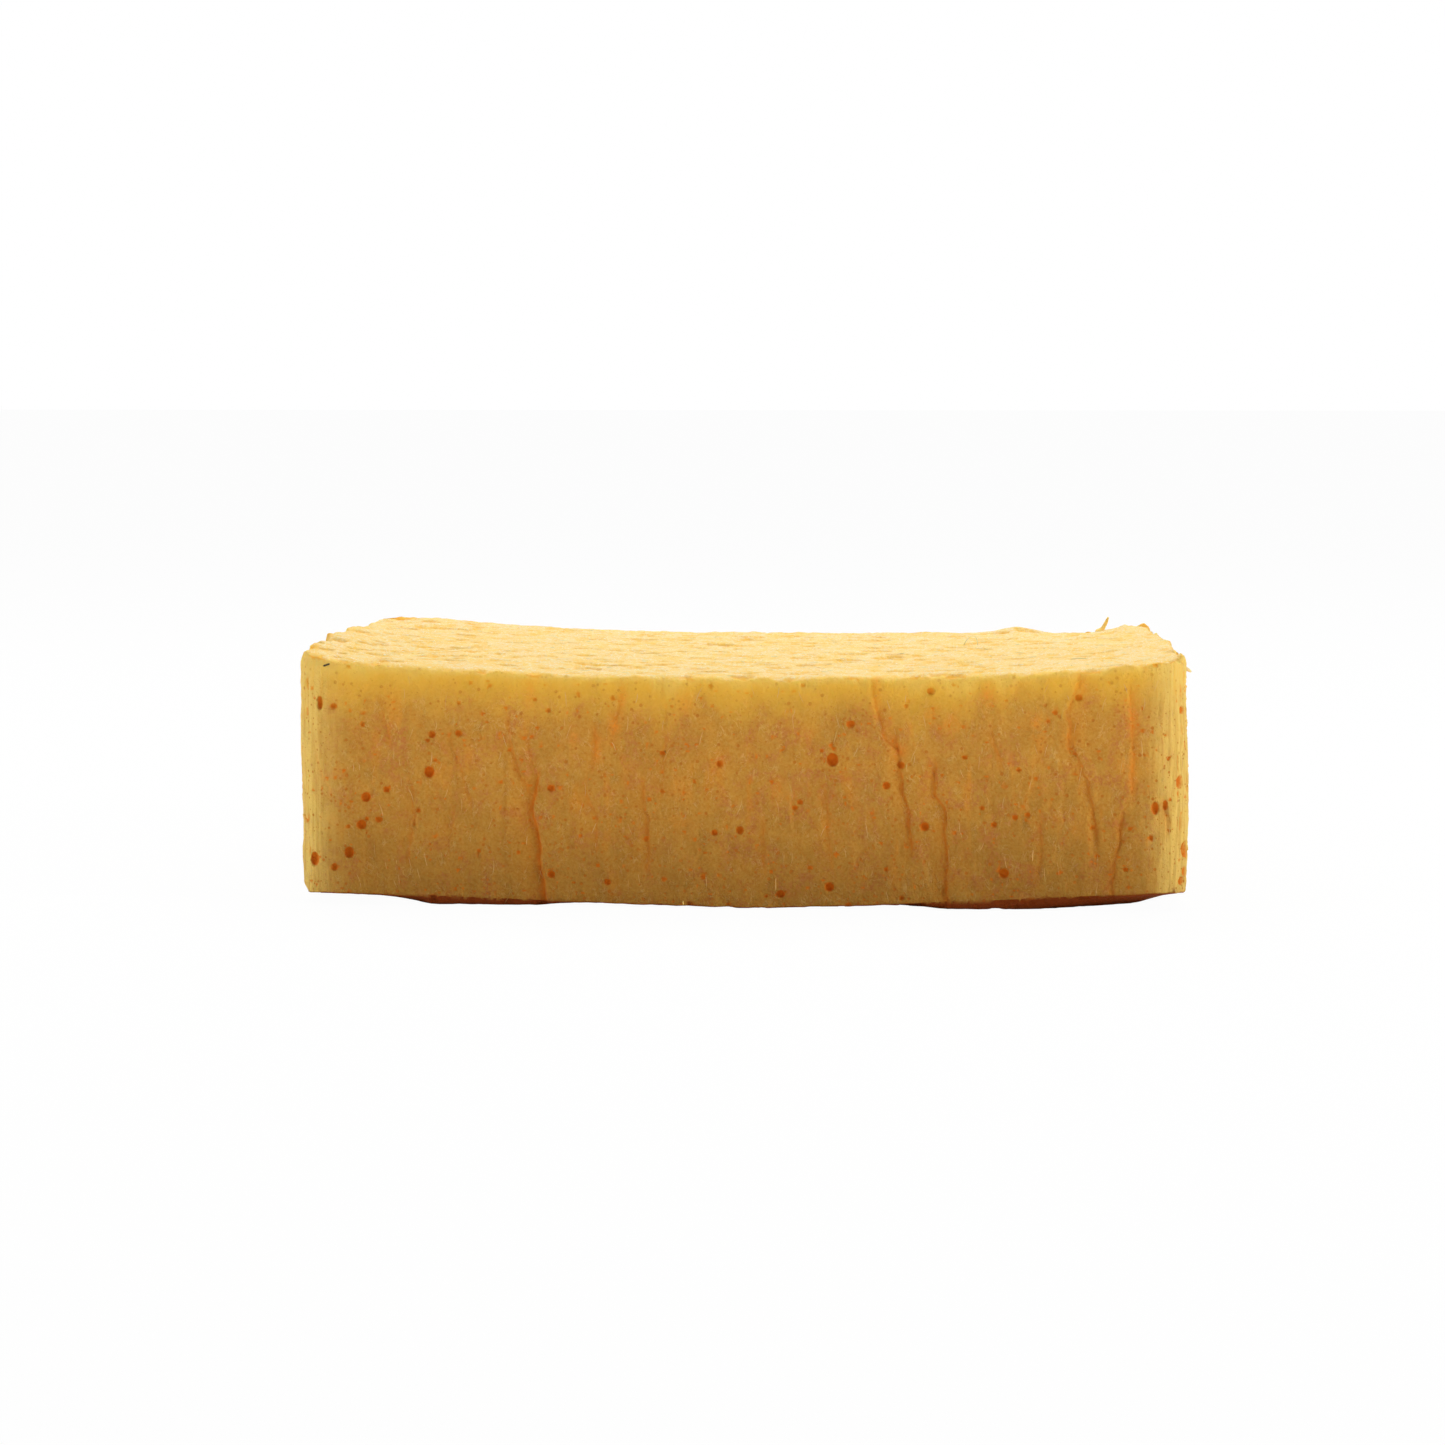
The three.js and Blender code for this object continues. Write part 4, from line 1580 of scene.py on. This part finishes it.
    def unfold(self, skin: Skin, mesh: bpy.types.Mesh) -> None:
        """Lays the six faces side by side in the mesh's UV map.

        Args:
            skin: the worked surface, whose lattice gives the places.
            mesh: the mesh that gets the map.
        """
        form = skin.form
        gap = 4.0
        corner = {
            Side.TOP: (gap, gap),
            Side.UNDER: (gap, 2 * gap + form.depth),
            Side.FRONT: (gap, 3 * gap + 2 * form.depth),
            Side.BACK: (gap, 4 * gap + 2 * form.depth + form.height),
            Side.LEFT: (2 * gap + form.length, gap),
            Side.RIGHT: (2 * gap + form.length, 2 * gap + form.height),
        }
        whole = 5 * gap + 2 * form.depth + 2 * form.height
        flat = skin.start * np.array([1, 1, form.thickness]) + np.array([form.length / 2, form.depth / 2, 0])
        uv = np.zeros((skin.quads.size, 2))
        side_of_loop = np.repeat(skin.quad_side, 4)
        loops = skin.quads.ravel()
        for number, side in enumerate(Side):
            chosen = side_of_loop == number
            uv[chosen] = (flat[loops[chosen]][:, list(side.across)] + np.array(corner[side])) / whole
        layer = mesh.uv_layers.new(name="OFBake")
        layer.uv.foreach_set("vector", uv.astype(np.float32).ravel())

    def dress(self, block: bpy.types.Object) -> None:
        """Hangs the block on the root body and hides the imported block that it stands for."""
        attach(block, "root")
        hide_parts("sponge_block")


# ---- Fibres ----


class Lie(Enum):
    """How a stray fibre lies: out from its root, arched with both ends rooted, or flat on the skin."""

    STANDING = "standing"
    ARCHED = "arched"
    FLAT = "flat"


@dataclass(frozen=True)
class StrayFibre:
    """One fibre that stands for a packed one, within that one's box.

    root and tip are places in the box, each as shares of its width, depth and height. knob thickens it, as
    a share of its radius, at root_share of its length, which is where it leaves the foam.
    """

    node: str
    slot: str
    finish: FibreFinish
    root: Point
    tip: Point
    radius: float
    lie: Lie = Lie.STANDING
    bow: Point = (0.0, 0.0, 0.0)
    flatness: float = 0.7
    knob: float = 0.0
    root_share: float = 0.3
    steps: int = 28
    sides: int = 12

    def route(self) -> np.ndarray:
        """The centre line, in millimetres.

        Returns:
            Points from the root to the tip.
        """
        low, high = (np.array(corner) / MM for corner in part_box(self.node))
        start = low + (high - low) * np.array(self.root)
        end = low + (high - low) * np.array(self.tip)
        share = np.linspace(0, 1, self.steps)[:, None]
        line = start + (end - start) * share
        arch = 4 * share * (1 - share) if self.lie is not Lie.ARCHED else np.sin(math.pi * share) ** 0.6
        wobble = Noise(51, (1.1, 1.1, 1.1)).at(line)[:, None] * 0.06
        return line + arch * np.array(self.bow) + wobble

    def build(self) -> bpy.types.Object:
        """Makes the fibre.

        Returns:
            The fibre's object.
        """
        route = self.route()
        share = np.linspace(0, 1, self.steps)
        if self.lie is Lie.STANDING:
            radii = self.radius * (1 - 0.7 * share**2.5 + self.knob * bump(share - self.root_share, 0.12))
        elif self.lie is Lie.ARCHED:
            radii = self.radius * (0.85 + 0.15 * np.cos(2 * math.pi * share))
        else:
            radii = self.radius * np.sqrt(np.maximum(1 - (2 * share - 1) ** 2, 0.02))
        radii = radii * (1 + 0.12 * np.sin(9 * share))
        points, faces = swept(route, radii, self.sides, self.flatness)
        made = mesh_object(self.node + "_fibre", points, faces, self.finish.material())
        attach(made, "root")
        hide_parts(self.node)
        return made


STRAY_FIBRES = (
    StrayFibre(
        node="rear_strand",
        slot="straw_fibre",
        finish=STRAW,
        root=(0.1, 0.5, 0.0),
        tip=(0.97, 0.5, 1.0),
        radius=0.6,
        bow=(0.25, 0, -0.3),
        knob=1.1,
        root_share=0.42,
    ),
    StrayFibre("end_barb", "pale_fibre", PALE, (0.0, 0.5, 0.9), (1.0, 0.5, 0.05), 0.5, flatness=0.35),
    StrayFibre("bottom_barb", "straw_fibre", STRAW, (0.2, 0.6, 0.9), (0.5, 0.0, 0.1), 0.45, flatness=0.4),
    StrayFibre("bran_fleck", "husk", HUSK, (-0.5, 0.12, 0.2), (1.4, 0.12, 0.75), 0.2, Lie.FLAT),
    StrayFibre(
        node="top_curl",
        slot="pale_fibre",
        finish=PALE,
        root=(0.1, 0.5, 0.3),
        tip=(0.9, 0.5, 0.3),
        radius=0.1,
        lie=Lie.ARCHED,
        bow=(0.5, 0, 2.1),
        flatness=1.0,
    ),
    StrayFibre(
        node="edge_fibre",
        slot="pale_fibre",
        finish=PALE,
        root=(0.0, 0.3, 0.55),
        tip=(1.0, 0.6, 0.6),
        radius=0.16,
        lie=Lie.FLAT,
        bow=(0, 0, 0.25),
    ),
    StrayFibre(
        node="skin_fibre_low",
        slot="pale_fibre",
        finish=SKIN_THREAD,
        root=(0.5, 0.4, 0.1),
        tip=(0.6, 0.4, 0.9),
        radius=0.09,
        lie=Lie.FLAT,
        bow=(0, -0.2, 0),
    ),
    StrayFibre(
        node="skin_fibre_right",
        slot="pale_fibre",
        finish=SKIN_THREAD,
        root=(0.4, 0.4, 0.1),
        tip=(0.6, 0.4, 0.9),
        radius=0.09,
        lie=Lie.FLAT,
        bow=(0, -0.2, 0),
    ),
)


@dataclass
class Fuzz:
    """Short fine fibres that lie on a face, half sunk in it, all in one piece.

    climb is the most that a fibre may rise or drop along its length. One that would do more, because it
    runs off the rim, is left out.
    """

    name: str
    side: Side
    count: int
    length: tuple[float, float]
    radius: float
    seed: int
    finish: FibreFinish = PALE
    upright: float = 0.0
    curve: float = 0.35
    proud: float = 0.04
    climb: float = 1.5
    steps: int = 7

    def build(self, block: bpy.types.Object) -> bpy.types.Object:
        """Lays the fibres on the block.

        Args:
            block: the finished foam block.

        Returns:
            The piece that holds them all.
        """
        points = np.empty(len(block.data.vertices) * 3, np.float32)
        block.data.vertices.foreach_get("co", points)
        points = points.reshape(-1, 3) / MM
        faces = [tuple(polygon.vertices) for polygon in block.data.polygons]
        ground = BVHTree.FromPolygons([Vector(p) for p in points], faces)
        draw = np.random.default_rng(self.seed)
        u, v = self.side.across
        low, high = points.min(axis=0), points.max(axis=0)
        vertices, quads = [], []
        for _ in range(self.count):
            place = draw.uniform(low[[u, v]] + 2, high[[u, v]] - 2)
            turn = math.pi / 2 + (1 - self.upright) * draw.uniform(-math.pi / 2, math.pi / 2)
            curve = draw.uniform(-self.curve, self.curve)
            reach = draw.uniform(*self.length)
            share = np.linspace(-0.5, 0.5, self.steps)
            route = self.route(ground, place, turn, curve, reach, share)
            if route is None:
                continue
            radii = self.radius * draw.uniform(0.6, 1.3) * np.sqrt(np.maximum(1 - (1.9 * share) ** 2, 0.05))
            tube, walls = swept(route, radii, 6)
            quads.append(walls + sum(len(v) for v in vertices))
            vertices.append(tube)
        made = mesh_object(self.name, np.concatenate(vertices), np.concatenate(quads), self.finish.material())
        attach(made, "root")
        return made

    def route(
        self, ground: BVHTree, place: np.ndarray, turn: float, curve: float, reach: float, share: np.ndarray
    ) -> np.ndarray | None:
        """One fibre's centre line, laid on the face.

        Args:
            ground: the block's surface.
            place: the fibre's middle in the face.
            turn: the way it lies.
            curve: how far it bends to one side, as a share of its length.
            reach: its length.
            share: how far along it each point is, from -0.5 to 0.5.

        Returns:
            Its points, or None where part of it would miss the face or climb too far.
        """
        u, v = self.side.across
        along = np.array([math.cos(turn), math.sin(turn)])
        aside = np.array([-along[1], along[0]])
        flat = place + reach * (share[:, None] * along + curve * (share[:, None] ** 2) * aside)
        found = []
        for spot in flat:
            origin = np.zeros(3)
            origin[[u, v]] = spot
            origin[self.side.axis] = self.side.sign * 400
            hit = ground.ray_cast(Vector(origin), Vector(-self.side.outward))[0]
            if hit is None:
                return None
            found.append(np.array(hit))
        route = np.array(found)
        height = route[:, self.side.axis] * self.side.sign
        if np.ptp(height) > self.climb:
            return None
        smooth = np.convolve(np.pad(height, 2, "edge"), np.ones(5) / 5, "valid")
        route[:, self.side.axis] = self.side.sign * (np.maximum(height, smooth) + self.proud)
        return route


FUZZ = (
    Fuzz("top_fuzz", Side.TOP, 320, (0.6, 2.2), 0.06, 61),
    Fuzz(
        name="front_threads",
        side=Side.FRONT,
        count=150,
        length=(1.0, 3.6),
        radius=0.055,
        seed=62,
        finish=SKIN_THREAD,
        upright=0.7,
        curve=0.3,
        proud=-0.02,
    ),
    Fuzz(
        name="back_threads",
        side=Side.BACK,
        count=100,
        length=(1.0, 3.6),
        radius=0.055,
        seed=63,
        finish=SKIN_THREAD,
        upright=0.7,
        curve=0.3,
        proud=-0.02,
    ),
)


# ---- Table, light and camera ----


@dataclass(frozen=True)
class Table:
    """The pale surface that the sponge lies on. Sizes are in metres."""

    width: float = 14.0
    finish: TableFinish = TableFinish()

    def build(self) -> bpy.types.Object:
        """Makes the table top.

        Returns:
            The table top.
        """
        half = self.width / 2 / MM
        corners = np.array([(-half, -half, 0.0), (half, -half, 0.0), (half, half, 0.0), (-half, half, 0.0)])
        made = mesh_object("table_top", corners, np.array([[0, 1, 2, 3]]), self.finish.material())
        return made


@dataclass(frozen=True)
class Softbox:
    """A soft lamp. Sizes are in metres; strength is in watts. It faces the sponge unless told otherwise."""

    name: str
    place: Point
    size: tuple[float, float]
    strength: float
    facing: Point | None = None

    def build(self, aim: Vector) -> bpy.types.Object:
        """Hangs the lamp.

        Args:
            aim: the point that it lights.

        Returns:
            The lamp.
        """
        light = bpy.data.lights.new(self.name, "AREA")
        light.shape = "RECTANGLE"
        light.size, light.size_y = self.size
        light.energy = self.strength
        made = bpy.data.objects.new(self.name, light)
        made.location = self.place
        way = aim - Vector(self.place) if self.facing is None else Vector(self.facing)
        made.rotation_euler = way.to_track_quat("-Z", "Y").to_euler()
        made.visible_camera = False
        bpy.context.scene.collection.objects.link(made)
        return made


@dataclass(frozen=True)
class Studio:
    """Plain soft light: a big softbox overhead and behind, one at each end, and a card that lies in front."""

    sky: float = 0.28
    lamps: tuple[Softbox, ...] = (
        Softbox("overhead_softbox", (0.0, 0.32, 0.74), (1.2, 0.6), 6.6),
        Softbox("right_softbox", (0.85, -0.26, 0.42), (0.35, 0.35), 4.0),
        Softbox("left_softbox", (-0.88, -0.2, 0.3), (0.4, 0.4), 2.7),
        Softbox("front_card", (0.0, -0.28, 0.002), (1.0, 0.3), 0.9, facing=(0.0, 0.0, 1.0)),
    )

    def build(self, aim: Vector) -> None:
        """Lights the scene.

        Args:
            aim: the point that the lamps light.
        """
        world = bpy.data.worlds.new("studio_air")
        world.use_nodes = True
        tree = Tree(world.node_tree)
        world.node_tree.nodes.clear()
        looked_at = tree.node("ShaderNodeLightPath").outputs["Is Camera Ray"]
        strength = tree.math("MULTIPLY_ADD", looked_at, 1.0 - self.sky, self.sky)
        air = tree.node("ShaderNodeBackground", {"Color": (1, 1, 1, 1), "Strength": strength})
        tree.node("ShaderNodeOutputWorld", {"Surface": air.outputs[0]})
        bpy.context.scene.world = world
        for lamp in self.lamps:
            lamp.build(aim)
        bpy.context.scene.view_settings.view_transform = "Standard"


@dataclass(frozen=True)
class Camera:
    """A long lens a little above the sponge, looking slightly down at its front skin.

    Angles are in degrees, distance in metres from the front skin's plane, and the aim is given right of
    the middle and above the base in millimetres.
    """

    azimuth: float = 3.5
    elevation: float = 6.1
    distance: float = 0.654
    aim_right: float = -3.4
    aim_up: float = 36.65
    lens: float = 83.7

    def build(self, front: float) -> bpy.types.Object:
        """Places the camera and makes it the scene's.

        Args:
            front: where the front skin is along Y, in metres.

        Returns:
            The camera.
        """
        turn, tilt = math.radians(self.azimuth), math.radians(self.elevation)
        aim = Vector((self.aim_right * MM, front, self.aim_up * MM))
        back = Vector((math.sin(turn) * math.cos(tilt), -math.cos(turn) * math.cos(tilt), math.sin(tilt)))
        data = bpy.data.cameras.new("camera")
        data.lens = self.lens
        data.sensor_width = 36.0
        data.clip_start = 0.01
        made = bpy.data.objects.new("camera", data)
        made.location = aim + self.distance * back
        made.rotation_euler = (-back).to_track_quat("-Z", "Y").to_euler()
        bpy.context.scene.collection.objects.link(made)
        bpy.context.scene.camera = made
        return made


def main() -> None:
    """Builds the camera, the sponge and its surroundings, in that order."""
    logging.basicConfig(level=logging.INFO, format="%(name)s: %(message)s")
    low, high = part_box("sponge_block")
    Camera().build(front=low.y)
    sponge = SpongeBlock(low=tuple(v / MM for v in low), high=tuple(v / MM for v in high))
    block = sponge.build()
    sponge.dress(block)
    LOG.info("%s: %d triangles", block.name, len(block.data.polygons))
    for fibre in STRAY_FIBRES:
        LOG.info("%s: %d faces", fibre.node, len(fibre.build().data.polygons))
    for layer in FUZZ:
        fuzz = layer.build(block)
        LOG.info("%s: %d faces", fuzz.name, len(fuzz.data.polygons))
    Table().build()
    Studio().build(aim=(low + high) / 2)


if __name__ == "__main__":
    main()
